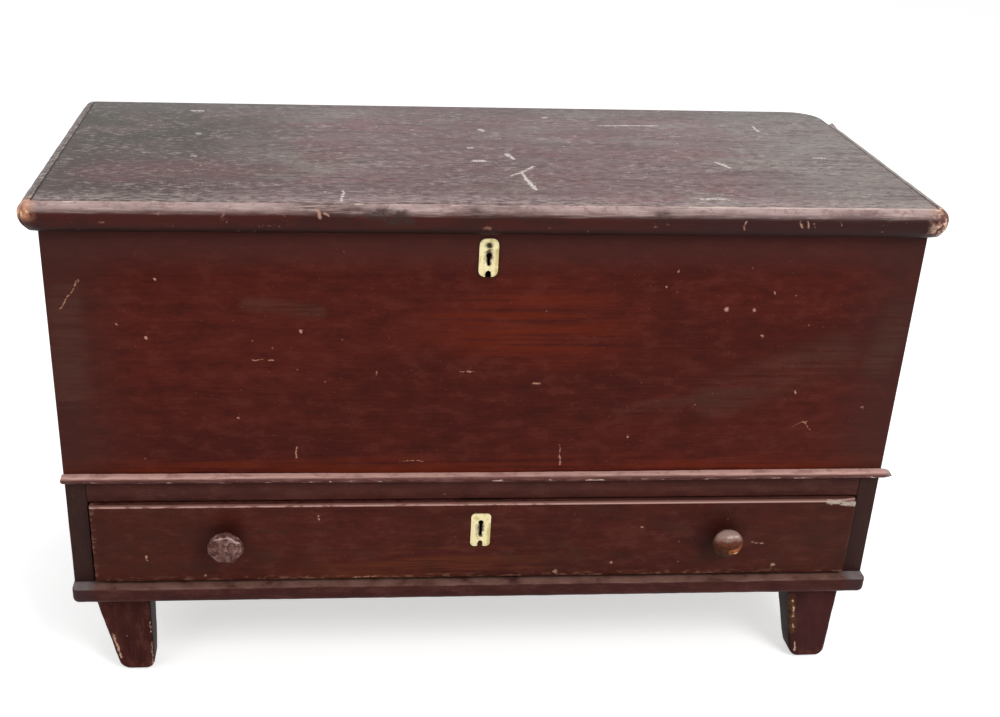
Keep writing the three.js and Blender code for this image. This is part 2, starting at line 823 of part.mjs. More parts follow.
// Nosed mouldings, mitred at the front corners, which are worn round
const noseSpan = [lidThickness - noseHeight, lidThickness];
const nosePlan = alongZ(
  roundedPlan(
    [-lidOuterHalf, lidOuterHalf],
    [lidOuterFront, lidBack],
    [noseCorner.frontLeft, noseCorner.frontRight, 0, noseCorner.backLeft],
  ),
  grown(noseSpan, overrun),
);
const mitreReach = noseThickness + overrun;
const mitreHalf = lidHalf - jointGap;
const frontMitre = polygon([
  [-mitreHalf, lidFront],
  [-mitreHalf - mitreReach, lidFront - mitreReach],
  [mitreHalf + mitreReach, lidFront - mitreReach],
  [mitreHalf, lidFront],
]);
const frontNose = alongX(
  noseSection(lidOuterFront, -1, noseRound, lidFront - jointGap, noseSpan),
  [-lidOuterHalf, lidOuterHalf],
);
place(
  lidGroup,
  "lid_moulding_front",
  "lidPaint",
  common(frontNose, alongZ(frontMitre, grown(noseSpan, overrun)), nosePlan),
);
for (const [end, side] of ends) {
  const endMitre = polygon([
    [side * lidHalf, lidFront],
    [side * (lidHalf + mitreReach), lidFront - mitreReach],
    [side * (lidHalf + mitreReach), lidBack + overrun],
    [side * lidHalf, lidBack + overrun],
  ]);
  const endNose = alongY(
    noseSection(side * lidOuterHalf, side, noseRound, side * (lidHalf + jointGap), noseSpan),
    [lidOuterFront, end === "right" ? lidBack - noseBroken : lidBack],
  );
  const moulding = common(endNose, alongZ(endMitre, grown(noseSpan, overrun)), nosePlan);
  place(lidGroup, `lid_moulding_${end}`, "lidPaint", moulding);
}

// Staple: a plate let into the lid, with an eye that drops into the lock
const staplePlate = block(staplePlateX, staplePlateY, [0, staplePlateThickness]);
const eye = block(stapleX, stapleSpan, [-stapleDrop - lidSeat, staplePlateThickness]);
const eyeTop = -lidSeat - boltHeadDrop;
const eyeHole = block(
  grown(stapleX, overrun),
  grown(stapleSpan, -stapleWire),
  grown([eyeTop - boltHeight, eyeTop], boltPlay),
);
place(lidGroup, "lid_staple", "iron", cut(join(staplePlate, eye), eyeHole, ...stapleScrewHoles()));
stapleScrewPlaces.forEach((at, i) => {
  const geometry = driven(screw(hingeScrewLength, screwHeadRadius), "up", at);
  place(lidGroup, `lid_staple_screw_${i + 1}`, "iron", geometry);
});

// Drawer pieces, with Y = 0 on the drawer's face and Z = 0 under it
const bottomSpan = [drawerBottomRaise, drawerBottomRaise + drawerBottomThickness];
const bottomHalf = drawerInner + drawerGrooveDepth;
const bottomFront = drawerFrontThickness - drawerGrooveDepth;
const bottomGroove = block(
  grown([-bottomHalf, bottomHalf], jointGap),
  [bottomFront - jointGap, drawerDepth + overrun],
  grown(bottomSpan, jointGap),
);

// The three tails on the end of a drawer side, or, grown, their sockets
function tails(span, grow) {
  const end = dovetailLap - grow;
  const root = drawerFrontThickness + overrun;
  return dovetailShares.map((share) => {
    const [tipLow, tipHigh] = grown(about(drawerSideHeight * share, dovetailTip), grow);
    const [neckLow, neckHigh] = grown(about(drawerSideHeight * share, dovetailNeck), grow);
    return alongX(polygon([[end, tipLow], [root, neckLow], [root, neckHigh], [end, tipHigh]]), span);
  });
}

const drawerLockFront = drawerFrontThickness - drawerLockThickness;
const drawerLockSpan = about(drawerLockX, drawerLockWidth);
const drawerLockBottom = drawerFrontHeight - drawerLockHeight;
const drawerKeyhole = keyhole(drawerLockX, drawerKeyZ, drawerKeyTail, drawerBoltMiddle);
const drawerLockMortise = block(
  grown(drawerLockSpan, jointGap),
  [drawerLockFront - jointGap, drawerFrontThickness + overrun],
  [drawerLockBottom - jointGap, drawerFrontHeight + overrun],
);
const drawerLockScrewLength = drawerLockThickness + drawerLockFront * biteShare;
const drawerLockScrewPlaces = grown(drawerLockSpan, -lockScrewInset).map((x) => [
  x,
  drawerFrontThickness,
  drawerLockBottom + lockScrewInset,
]);

function drawerLockScrewHoles() {
  return drawerLockScrewPlaces.map((at) =>
    driven(screwHole(drawerLockScrewLength, screwHeadRadius), "front", at),
  );
}

const knobHoleSpan = [-overrun, drawerFrontThickness + overrun];
const knobPlaces = ends.map(([end, side]) => [
  side * (drawerHalf - knobInset[end]),
  0,
  drawerFrontHeight / 2 + knobRise[end],
]);
const knobHoles = knobPlaces.map((at) =>
  rod(knobTenonRadius + jointGap, knobHoleSpan, boreSteps).translate(...at),
);
const socketSpans = ends.map(([, side]) =>
  between(side * (drawerInner - jointGap), side * (drawerHalf + overrun)),
);
const drawerFront = block([-drawerHalf, drawerHalf], [0, drawerFrontThickness], [0, drawerFrontHeight]);
place(
  drawerGroup,
  "drawer_front",
  "casePaint",
  cut(
    drawerFront,
    ...socketSpans.flatMap((span) => tails(span, jointGap)),
    bottomGroove,
    drawerKeyhole,
    drawerLockMortise,
    ...drawerLockScrewHoles(),
    ...knobHoles,
  ),
);
for (const [end, side] of ends) {
  const across = between(side * drawerInner, side * drawerHalf);
  const board = block(across, [drawerFrontThickness + jointGap, drawerDepth], [0, drawerSideHeight]);
  const tailed = join(board, ...tails(across, 0));
  place(drawerGroup, `drawer_side_${end}`, "bareWood", cut(tailed, bottomGroove));
}
place(
  drawerGroup,
  "drawer_back",
  "bareWood",
  block(
    grown([-drawerInner, drawerInner], -jointGap),
    [drawerDepth - drawerBackThickness, drawerDepth],
    [bottomSpan[1] + jointGap, drawerSideHeight - drawerBackDrop],
  ),
);
place(
  drawerGroup,
  "drawer_bottom",
  "bareWood",
  block([-bottomHalf, bottomHalf], [bottomFront, drawerDepth], bottomSpan),
);

// Knobs with tenons glued through the drawer front. From its face each swells to a rim and curves in
// again to its neck: the left one has a flat face with a pip, and the right one is domed.
const quarter = Array.from({ length: arcSteps + 1 }, (_, i) => (i / arcSteps) * quarterTurn);
const pip = [[0, -knobReach - knobPipReach], [knobPipRadius, -knobReach]];

function knobGeometry(end) {
  const radius = knobRadius[end];
  const face = knobFaceRadius[end];
  const rimPlace = knobSwell[end] - knobReach;
  const front = quarter.map((a) => [
    face + (radius - face) * Math.sin(a),
    rimPlace - knobSwell[end] * Math.cos(a),
  ]);
  const back = quarter.slice(1).map((a) => [
    knobNeckRadius + (radius - knobNeckRadius) * Math.cos(a),
    rimPlace + knobBack * Math.sin(a),
  ]);
  const profile = [
    ...(face > 0 ? pip : []),
    ...front,
    ...back,
    [knobNeckRadius, -knobFootThickness * 2],
    [knobFootRadius, -knobFootThickness],
    [knobFootRadius, -jointGap],
    [knobTenonRadius, -jointGap],
    [knobTenonRadius, drawerFrontThickness],
    [0, drawerFrontThickness],
  ];
  return turned(profile, turnSteps);
}

ends.forEach(([end], i) => {
  place(drawerGroup, `knob_${end}`, "casePaint", knobGeometry(end).translate(...knobPlaces[i]));
});

// Drawer lock: its box, its rising bolt and its screws
const drawerBoltX = about(drawerLockX, drawerBoltWidth);
const drawerBoltY = about(drawerBoltMiddle, boltThickness);
const drawerBoltTop = drawerFrontHeight - runGap;
const drawerBoltBottom = drawerBoltTop - drawerBoltHeight;
const drawerBoltRunY = grown(drawerBoltY, runGap);
const drawerBoltRun = block(
  grown(drawerBoltX, runGap),
  drawerBoltRunY,
  [drawerBoltBottom - runGap, drawerFrontHeight + overrun],
);
const drawerKeyRoom = rod(drawerKeyTail, drawerBoltRunY, boreSteps).translate(drawerLockX, 0, drawerKeyZ);
const drawerLockBox = block(
  drawerLockSpan,
  [drawerLockFront, drawerFrontThickness],
  [drawerLockBottom, drawerFrontHeight],
);
place(
  drawerGroup,
  "drawer_lock_case",
  "iron",
  cut(drawerLockBox, drawerBoltRun, drawerKeyRoom, drawerKeyhole, ...drawerLockScrewHoles()),
);
drawerLockScrewPlaces.forEach((at, i) => {
  const geometry = driven(screw(drawerLockScrewLength, screwHeadRadius), "front", at);
  place(drawerGroup, `drawer_lock_screw_${i + 1}`, "iron", geometry);
});
const drawerBolt = block(drawerBoltX, drawerBoltY, [drawerBoltBottom, drawerBoltTop]);
const drawerTalon = block(
  about(drawerLockX, drawerTalonWidth),
  grown(drawerBoltY, overrun),
  [drawerBoltBottom - overrun, drawerBoltBottom + drawerTalonHeight],
);
place(drawerGroup, "drawer_lock_bolt", "iron", cut(drawerBolt, drawerTalon));

// Drawer escutcheon: an upright plate with rounded corners
const drawerPlate = roundedPlan(
  about(drawerLockX, drawerPlateWidth),
  [drawerPlateBottom, drawerPlateTop],
  Array(4).fill(drawerPlateCorner),
);
place(
  drawerGroup,
  "drawer_escutcheon",
  "brass",
  cut(alongY(drawerPlate, plateSpan), drawerKeyhole, notch(drawerLockX, drawerPlateBottom)),
);

// The origin is on the floor, under the middle of the whole chest
const frontMost = -drawerProud - knobReach - knobPipReach;
chest.position.y = -(frontMost + lidBack) / 2;

export default chest;
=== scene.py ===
import json
import math

import bmesh
import bpy
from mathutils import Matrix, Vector

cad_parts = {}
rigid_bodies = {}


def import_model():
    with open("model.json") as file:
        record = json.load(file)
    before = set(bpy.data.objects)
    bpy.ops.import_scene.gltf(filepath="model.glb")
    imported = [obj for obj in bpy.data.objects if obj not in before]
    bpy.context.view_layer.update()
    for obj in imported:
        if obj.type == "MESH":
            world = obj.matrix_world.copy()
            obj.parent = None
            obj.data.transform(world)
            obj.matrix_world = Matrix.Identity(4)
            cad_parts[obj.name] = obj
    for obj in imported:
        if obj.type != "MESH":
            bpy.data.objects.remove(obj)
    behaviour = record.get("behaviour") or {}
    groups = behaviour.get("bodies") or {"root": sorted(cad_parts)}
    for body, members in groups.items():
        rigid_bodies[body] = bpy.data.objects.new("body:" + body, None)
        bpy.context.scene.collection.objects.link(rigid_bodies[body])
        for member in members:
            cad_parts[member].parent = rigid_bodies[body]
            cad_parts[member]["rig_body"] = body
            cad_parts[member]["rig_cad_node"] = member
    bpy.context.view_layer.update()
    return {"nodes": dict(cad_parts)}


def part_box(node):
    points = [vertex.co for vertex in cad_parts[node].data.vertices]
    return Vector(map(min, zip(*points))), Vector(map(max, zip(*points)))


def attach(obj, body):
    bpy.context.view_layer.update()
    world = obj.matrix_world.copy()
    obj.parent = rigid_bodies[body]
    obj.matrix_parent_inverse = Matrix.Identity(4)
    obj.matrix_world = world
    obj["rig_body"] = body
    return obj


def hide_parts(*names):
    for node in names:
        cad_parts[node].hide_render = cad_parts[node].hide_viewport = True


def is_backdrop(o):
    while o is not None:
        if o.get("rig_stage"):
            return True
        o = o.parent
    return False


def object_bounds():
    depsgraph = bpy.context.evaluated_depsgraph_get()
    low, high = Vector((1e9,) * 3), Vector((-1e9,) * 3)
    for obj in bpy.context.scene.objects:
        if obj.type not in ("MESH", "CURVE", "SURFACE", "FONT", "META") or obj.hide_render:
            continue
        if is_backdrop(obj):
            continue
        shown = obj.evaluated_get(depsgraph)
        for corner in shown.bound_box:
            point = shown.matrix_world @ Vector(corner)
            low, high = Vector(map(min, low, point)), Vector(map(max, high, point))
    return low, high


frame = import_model()


# The base board: one thick pine plank under the whole chest, painted like the rest. Its lower edge is
# rounded at the front and both ends, and its arrises have been knocked and rubbed for two centuries.
def tint(red, green, blue):
    """A colour as a screen shows it, from 0 to 255, as the shader's linear values."""
    shown = [value / 255 for value in (red, green, blue)]
    return [v / 12.92 if v <= 0.04045 else ((v + 0.055) / 1.055) ** 2.4 for v in shown] + [1.0]


class Share:
    """A value over the surface, mostly a share from 0 to 1: * joins two, and | takes the greater."""

    def __init__(self, finish, socket):
        self.finish, self.socket = finish, socket

    def math(self, operation, *others, **settings):
        return self.finish.wire("Math", dict(enumerate((self, *others))), operation=operation, **settings)

    def __mul__(self, other):
        return self.math("MULTIPLY", other)

    __rmul__ = __mul__

    def __add__(self, other):
        return self.math("ADD", other)

    def __or__(self, other):
        return self.math("MAXIMUM", other)

    def __abs__(self):
        return self.math("ABSOLUTE")

    def fade(self, low, high):
        """0 at low and 1 at high, smoothly between; low may be the greater."""
        feed = {"Value": self, "From Min": low, "From Max": high, "To Min": 0.0, "To Max": 1.0}
        return self.finish.wire("MapRange", feed, interpolation_type="SMOOTHSTEP")

    def near(self, at, reach):
        """1 where the value is at a place, and 0 past the reach on either side of it."""
        return abs(self.math("SUBTRACT", at)).fade(reach, 0.0)


class Finish:
    """A finish as it is laid on: each coat goes over the colour that is there by a share from 0 to 1."""

    def __init__(self, name, ground, roughness, gloss, metal=0.0):
        self.material = bpy.data.materials.new(name)
        self.material.use_nodes = True
        self.tree = self.material.node_tree
        self.shader = self.tree.nodes["Principled BSDF"]
        self.shader.inputs["Roughness"].default_value = roughness
        self.shader.inputs["Specular IOR Level"].default_value = gloss
        self.shader.inputs["Metallic"].default_value = metal
        self.place = self.wire("TexCoord", {}, out=3)
        parts = [self.wire("SeparateXYZ", {0: self.place}, out=i) for i in range(3)]
        self.across, self.deep, self.high = parts
        self.colour = tint(*ground)

    def wire(self, kind, feed, out=0, **settings):
        """Adds a node, sets or joins its sockets, and gives back one of its outputs."""
        made = self.tree.nodes.new("ShaderNode" + kind)
        for name, value in settings.items():
            setattr(made, name, value)
        for socket, value in feed.items():
            if isinstance(value, Share):
                self.tree.links.new(value.socket, made.inputs[socket])
            else:
                made.inputs[socket].default_value = value
        return Share(self, made.outputs[out])

    def vector(self, operation, *feed, out=0):
        return self.wire("VectorMath", dict(enumerate(feed)), out, operation=operation)

    def lead(self, share, socket):
        self.tree.links.new(share.socket, self.shader.inputs[socket])

    def coat(self, share, over):
        feed = {0: share, 6: self.colour, 7: tint(*over)}
        self.colour = self.wire("Mix", feed, out=2, data_type="RGBA")
        self.lead(self.colour, "Base Color")

    def counted(self, lengths, shift):
        """The place counted in lengths along each axis, shifted so that no two patterns are alike."""
        return self.vector("MULTIPLY_ADD", self.place, [1 / length for length in lengths], (shift,) * 3)

    def grain(self, size, shift, detail=5.0, rough=0.6, out=0):
        """Soft noise whose marks have about the given size in metres along each axis."""
        feed = {"Vector": self.counted(size, shift), "Scale": 1.0, "Detail": detail, "Roughness": rough}
        return self.wire("TexNoise", feed, out)

    def knocks(self, room, size, shift):
        """Small knocks, fewer than one to a room of that width, none wider than the size."""
        away = self.wire("TexVoronoi", {"Vector": self.counted((room,) * 3, shift), "Scale": 1.0})
        return away.fade(size / room / 2, size / room / 5)

    def strokes(self, lines, whole=False):
        """Scratches and smears: each has a start, a stop and a width, ragged sides, gaps unless whole."""
        jitter = self.grain((0.009,) * 3, 31.0, out=1)
        jitter = self.vector("MULTIPLY_ADD", jitter, (0.008,) * 3, (-0.004,) * 3)
        ragged = self.vector("ADD", jitter, self.place)
        marked = None
        for start, stop, width in lines:
            run = Vector(stop) - Vector(start)
            gone = self.vector("SUBTRACT", ragged, start)
            share = self.vector("DOT_PRODUCT", gone, run / max(run.length_squared, 1e-9), out=1)
            share = share.math("MULTIPLY", 1.0, use_clamp=True)
            nearest = self.wire("VectorMath", {0: run, "Scale": share}, operation="SCALE")
            mark = self.vector("DISTANCE", gone, nearest, out=1).fade(width, width * 0.3)
            marked = marked | mark if marked else mark
        if whole:
            return marked
        return marked * self.grain((0.003,) * 3, 33.0, detail=2.0).fade(0.36, 0.52)

    def sheen(self, share, least, most):
        """Roughness that runs from one value to another with the share."""
        self.lead(self.wire("MapRange", {"Value": share, "To Min": least, "To Max": most}), "Roughness")

    def relief(self, height, depth):
        """A shallow relief from a height between 0 and 1."""
        self.lead(self.wire("Bump", {"Height": height, "Strength": 1.0, "Distance": depth}), "Normal")


def along(axis, length, width):
    """The size of marks that run along one axis."""
    return [length if i == axis else width for i in range(3)]


def oxblood(name, axis, ground, dark, dusty, shift):
    """Thin iron-red paint on pine, brushed and rubbed along one axis, with small knocks to the wood."""
    paint = Finish(name, ground, roughness=0.4, gloss=0.06)
    patches = paint.grain(along(axis, 0.3, 0.09), shift, detail=3.0)
    paint.coat(patches.fade(0.38, 0.66), dark)
    bands = paint.grain(along(axis, 0.4, 0.012), shift + 3.0, detail=4.0)
    paint.coat(bands.fade(0.45, 0.7) * 0.6, dark)
    blotches = paint.grain(along(axis, 0.034, 0.016), shift + 4.0, detail=6.0, rough=0.7)
    paint.coat(blotches.fade(0.5, 0.62) * 0.35, dusty)
    paint.coat(blotches.fade(0.48, 0.36) * 0.55, [tone * 0.8 for tone in dark])
    lines = paint.grain(along(axis, 0.06, 0.002), shift + 6.0, rough=0.7)
    paint.coat(lines.fade(0.5, 0.72) * 0.3, dusty)
    paint.coat(paint.knocks(0.03, 0.003, shift) * 0.6, (150, 104, 88))
    paint.coat(paint.knocks(0.011, 0.0016, shift + 1.0) * 0.45, (146, 96, 80))
    paint.sheen(bands, 0.3, 0.55)
    paint.relief(lines, 0.0004)
    return paint


def blank(name, low, high):
    """A sawn blank between two corners, with its place in its mesh."""
    bpy.ops.object.select_all(action="DESELECT")
    bpy.ops.mesh.primitive_cube_add(size=1, location=(Vector(low) + Vector(high)) / 2)
    bpy.ops.transform.resize(value=Vector(high) - Vector(low))
    bpy.ops.object.transform_apply(location=True, rotation=True, scale=True)
    piece = bpy.context.object
    piece.name = name
    return piece


def pick(piece, kind, test):
    """Edit mode, with only the vertices, edges or faces selected whose middle passes the test."""
    bpy.context.view_layer.objects.active = piece
    bpy.ops.object.mode_set(mode="EDIT")
    bpy.ops.mesh.select_mode(type=kind)
    bpy.ops.mesh.select_all(action="DESELECT")
    form = bmesh.from_edit_mesh(piece.data)
    for part in {"VERT": form.verts, "EDGE": form.edges, "FACE": form.faces}[kind]:
        corners = [part] if kind == "VERT" else part.verts
        middle = sum((corner.co for corner in corners), Vector()) / len(corners)
        if test(middle):
            part.select_set(True)
    bmesh.update_edit_mesh(piece.data)


def shaped(piece, kind, test, operator, **how):
    """Shapes what passes the test with one operator."""
    pick(piece, kind, test)
    operator(**how)
    bpy.ops.object.mode_set(mode="OBJECT")


def rounded(piece, radius, steps, test):
    """Rounds the edges whose middle passes the test."""
    shaped(piece, "EDGE", test, bpy.ops.mesh.bevel, offset=radius, segments=steps, affect="EDGES")


def cut(piece, places, away, **how):
    """Cuts the skin through each place, square to the arrow."""
    bpy.context.view_layer.objects.active = piece
    bpy.ops.object.mode_set(mode="EDIT")
    for place in places:
        bpy.ops.mesh.select_all(action="SELECT")
        bpy.ops.mesh.bisect(plane_co=place, plane_no=away, **how)
    bpy.ops.object.mode_set(mode="OBJECT")


def sliced(piece, axis, places):
    """Cuts the skin across an axis at each place, so that wear has points to move."""
    square = Vector(int(i == axis) for i in range(3))
    cut(piece, [square * at for at in places], square)


def evenly(low, high, count):
    return [low + (high - low) * (i + 1) / (count + 1) for i in range(count)]


def worn(piece, depth, size):
    """Rubs the surface back unevenly, nowhere by more than the depth."""
    marks = bpy.data.textures.new(piece.name + "_wear", "CLOUDS")
    marks.noise_scale = size
    rub = piece.modifiers.new("wear", "DISPLACE")
    rub.texture = marks
    rub.texture_coords = "LOCAL"
    rub.mid_level = 1.0
    rub.strength = depth
    bpy.context.view_layer.objects.active = piece
    bpy.ops.object.modifier_apply(modifier="wear")


def hold(piece):
    """Selects one piece alone for the next operator."""
    bpy.ops.object.select_all(action="DESELECT")
    piece.select_set(True)
    bpy.context.view_layer.objects.active = piece


def settle(piece, node, finish, smooth=40):
    """Finishes a piece, and puts it on its body in the place of its CAD node."""
    piece.data.materials.clear()
    piece.data.materials.append(finish.material)
    hold(piece)
    bpy.ops.object.shade_smooth_by_angle(angle=math.radians(smooth))
    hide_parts(node)
    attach(piece, frame["nodes"][node]["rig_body"])


hair = 0.0001  # what lies within this of a face counts as on it
arris = 0.002  # the radius of a rubbed arris
base_low, base_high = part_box("base_board")
base_paint = oxblood("base_paint", 0, (66, 32, 27), (57, 27, 25), (92, 54, 50), 1.0)
rubbed = base_paint.grain((0.03, 0.03, 0.002), 41.0, detail=6.0)
on_top = base_paint.high.fade(base_high.z - 0.0016, base_high.z - 0.0004)
base_paint.coat(on_top * rubbed.fade(0.25, 0.55) * 0.8, (124, 90, 80))
at_arris = base_paint.high.near(base_high.z - 0.001, 0.0022)
base_paint.coat(at_arris * rubbed.fade(0.5, 0.66) * 0.5, (138, 104, 94))
at_ends = abs(base_paint.across).fade(0.474, 0.492)
base_paint.coat(at_ends * 0.7, (58, 40, 40))
base_paint.coat(at_ends * on_top * rubbed.fade(0.2, 0.6), (122, 110, 110))
at_sole = base_paint.high.near(base_low.z, 0.004)
base_paint.coat(at_sole * rubbed.fade(0.62, 0.68), (170, 140, 120))
underneath = base_paint.high.fade(base_low.z + 0.0014, base_low.z + 0.0006)
base_paint.coat(underneath * rubbed.fade(0.2, 0.6), (112, 84, 60))

base = blank("base_board_worn", base_low, base_high)


def at_lower_arris(m):
    outside = m.y < base_low.y + hair or abs(m.x) > base_high.x - hair
    back_corner = m.y > base_high.y - hair and m.z > base_low.z + hair
    return outside and m.z < base_high.z - hair and not back_corner


rounded(base, 0.0085, 5, at_lower_arris)
rounded(base, arris, 3, lambda m: m.z > base_high.z - hair and m.y < base_high.y - hair)
sliced(base, 0, evenly(base_low.x, base_high.x, 120))
worn(base, 0.0009, 0.02)
settle(base, "base_board", base_paint)


# The four feet: short tapered pine legs, cut by hand so that no two ends are alike, tenoned up into the
# base board. Their arrises and soles are worn round, and the paint has gone from them down to the wood.
foot_taper = {"left": (0.027, 0.0), "right": (0.019, 0.005)}  # lost from the left and the right face
foot_depth_taper = 0.026
foot_round, foot_arris_round = 0.012, 0.0055
joint = 0.0002  # the room left between two pieces
foot_top = base_low.z - joint


def on_arris(marks):
    """Marks on the front feet: which foot and arris, from and to a height, how far in, and a width."""
    for end, side, from_sole, to_sole, inward, width in marks:
        low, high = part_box(f"foot_front_{end}")
        line = []
        for height in (from_sole, to_sole):
            lost = foot_taper[end][side] * (1 - height / foot_top)
            x = low.x + lost + inward if side == 0 else high.x - lost - inward
            line.append((x, low.y + min(inward, 0.0018) / 2, height))
        yield *line, width


foot_paint = oxblood("foot_paint", 2, (80, 38, 33), (62, 31, 27), (100, 58, 52), 4.0)
foot_paint.shader.inputs["Specular IOR Level"].default_value = 0.02
foot_paint.coat(foot_paint.across.fade(0.0, 0.1) * 0.6, (62, 36, 37))
facing = foot_paint.wire("TexCoord", {}, out=1)
# Painted shade: the faces of each foot that look to the left or the right are painted near black.
side_shade = abs(foot_paint.wire("SeparateXYZ", {0: facing})).fade(0.6, 0.9)
foot_paint.coat(side_shade * 0.85, (28, 17, 13))
sole_wear = foot_paint.grain((0.008, 0.008, 0.008), 43.0)
near_sole = foot_paint.high.fade(0.022, 0.002)
foot_paint.coat(near_sole * sole_wear.fade(0.45, 0.6) * 0.6, (104, 60, 46))
rubbed_bare = [("right", 0, 0.08, 0.1, 0.004, 0.007), ("right", 0, 0.045, 0.07, 0.005, 0.008)]
chipped_pale = [
    ("left", 0, 0.02, 0.056, 0.0065, 0.0022),
    ("left", 1, 0.008, 0.042, 0.0018, 0.0022),
    ("left", 1, 0.058, 0.073, 0.0022, 0.002),
    ("right", 0, 0.012, 0.026, 0.0085, 0.002),
    ("right", 0, 0.05, 0.053, 0.006, 0.002),
    ("right", 0, 0.066, 0.082, 0.007, 0.002),
    ("right", 0, 0.09, 0.092, 0.006, 0.002),
    ("right", 1, 0.012, 0.014, 0.0018, 0.0022),
]
foot_paint.coat(foot_paint.strokes(on_arris(rubbed_bare)) * sole_wear.fade(0.35, 0.55), (92, 62, 36))
foot_paint.coat(foot_paint.strokes(on_arris(chipped_pale)) * 0.9, (200, 164, 140))

for row in ("front", "back"):
    for end in ("left", "right"):
        node = f"foot_{row}_{end}"
        foot_low, foot_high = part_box(node)
        foot_high.z = foot_top
        foot = blank(node + "_worn", foot_low, foot_high)
        middle = (foot_low + foot_high) / 2
        from_left, from_right = foot_taper[end]
        inward = 1 if row == "front" else -1
        tapers = [
            (lambda m: m.x < middle.x, (from_left, 0, 0)),
            (lambda m: m.x > middle.x, (-from_right, 0, 0)),
            (lambda m: (m.y - middle.y) * inward > 0, (0, -inward * foot_depth_taper, 0)),
        ]
        for side, shift in tapers:
            shaped(foot, "VERT", lambda m: m.z < 0.001 and side(m), bpy.ops.transform.translate, value=shift)
        sole_x = (foot_low.x + from_left + foot_high.x - from_right) / 2
        rounded(foot, foot_round, 7, lambda m: m.z < hair and abs(m.x - sole_x) > 0.01)
        outer_y, inner_y = (foot_low.y, foot_high.y)[::inward]
        leaning = inward * foot_depth_taper / foot_top

        def at_arris(m):
            off_inner = m.y - inner_y + leaning * (foot_top - m.z)
            return m.z < foot_top - 0.001 and min(abs(m.y - outer_y), abs(off_inner)) < 0.0003

        rounded(foot, foot_arris_round, 4, at_arris)
        sliced(foot, 2, evenly(0.012, foot_top, 12))
        worn(foot, 0.0014, 0.014)
        settle(foot, node, foot_paint)


# The sides: one wide board each, standing on the base board. Their front edges show beside the drawer, and
# above it they are cut back for the front board, which is nailed over them.
def bare(wood, share, axis, pale, dark, shift):
    """Bare pine where the share is 1: its colour, its year rings and its fibre."""
    wood.coat(share, pale)
    rings = wood.grain(along(axis, 0.8, 0.018), shift, detail=2.0)
    wood.coat(share * rings.fade(0.4, 0.62), dark)
    fibre = wood.grain(along(axis, 0.12, 0.0018), shift + 2.0, rough=0.7)
    wood.coat(share * fibre.fade(0.48, 0.7) * 0.4, [tone * 0.72 for tone in dark])
    return fibre


front_low, front_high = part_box("front_board")
side_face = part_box("side_board_right")[1].x
old_pine = (146, 112, 78), (120, 88, 58)

side_paint = oxblood("side_paint", 2, (60, 30, 26), (48, 26, 23), (78, 50, 44), 9.0)
at_edge = side_paint.deep.fade(front_low.y + 0.004, front_low.y + 0.001)
side_paint.coat(at_edge * 0.7, (50, 32, 28))
inside = side_paint.deep.fade(front_low.y + 0.002, front_low.y + 0.0045)
inside *= abs(side_paint.across).fade(side_face - 0.002, side_face - 0.0045)
bare(side_paint, inside, 2, *old_pine, 27.0)

for end in ("left", "right"):
    node = f"side_board_{end}"
    low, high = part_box(node)
    lap = front_low.z - joint
    side = blank(node + "_worn", low, (high.x, high.y, lap))
    sliced(side, 1, [front_high.y + joint])
    shaped(
        side,
        "FACE",
        lambda m: m.z > lap - hair and m.y > front_high.y,
        bpy.ops.mesh.extrude_region_move,
        TRANSFORM_OT_translate={"value": (0, 0, high.z - lap)},
    )
    outer = low.x if end == "left" else high.x
    rounded(side, arris, 3, lambda m: abs(m.x - outer) < hair and m.y < low.y + hair)
    sliced(side, 2, evenly(low.z, high.z, 24))
    worn(side, 0.0006, 0.05)
    settle(side, node, side_paint)


# The back: two wide pine boards that were never painted, nailed over the edges of the sides.
def pine(name, axis, pale, dark, shift):
    """Unpainted pine: its year rings, its fibre and a little dirt."""
    wood = Finish(name, pale, roughness=0.7, gloss=0.3)
    fibre = bare(wood, 1.0, axis, pale, dark, shift)
    wood.sheen(fibre, 0.6, 0.8)
    wood.relief(fibre, 0.0004)
    return wood


doubled = 0.00001  # points closer than this are one


def eased(nodes, finish, width=0.0):
    """Sawn pieces that stay as they are, with their arrises taken off by the width."""
    for node in nodes:
        piece = frame["nodes"][node]
        piece.data.materials.clear()
        piece.data.materials.append(finish.material)
        if width:
            piece.modifiers.new("weld", "WELD").merge_threshold = doubled
            bevel = piece.modifiers.new("arris", "BEVEL")
            bevel.width = width
            bevel.segments = 2
            bevel.limit_method = "ANGLE"
            bevel.angle_limit = math.radians(40)


back_pine = pine("back_pine", 0, (128, 100, 74), (102, 76, 54), 11.0)
eased(["back_board_upper", "back_board_lower"], back_pine, 0.001)


# The floor of the well, the ledgers under it, and the drawer's runners and stops: plain sawn pine, nailed
# and glued inside the case, and never painted.
floor_pine = pine("floor_pine", 0, (166, 130, 90), (138, 102, 66), 13.0)
runner_pine = pine("runner_pine", 1, (150, 116, 80), (124, 92, 60), 15.0)
eased(["chest_floor", "floor_ledger_back", "drawer_stop_left", "drawer_stop_right"], floor_pine, 0.0006)
eased(
    ["floor_ledger_left", "floor_ledger_right", "drawer_runner_left", "drawer_runner_right"],
    runner_pine,
    0.0006,
)


# The rail over the drawer: a pine strip between the sides, behind the front board's lower edge. It is the
# darkest of the painted pieces, because the waist moulding shades it and no hand rubs it.
rail_low, rail_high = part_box("drawer_rail")
rail_paint = oxblood("rail_paint", 0, (70, 32, 26), (58, 28, 24), (90, 54, 48), 7.0)
dust = rail_paint.high.near((rail_low.z + rail_high.z) / 2, 0.012)
rail_paint.coat(dust * 0.2, (92, 56, 48))
eased(["drawer_rail"], rail_paint, 0.0012)


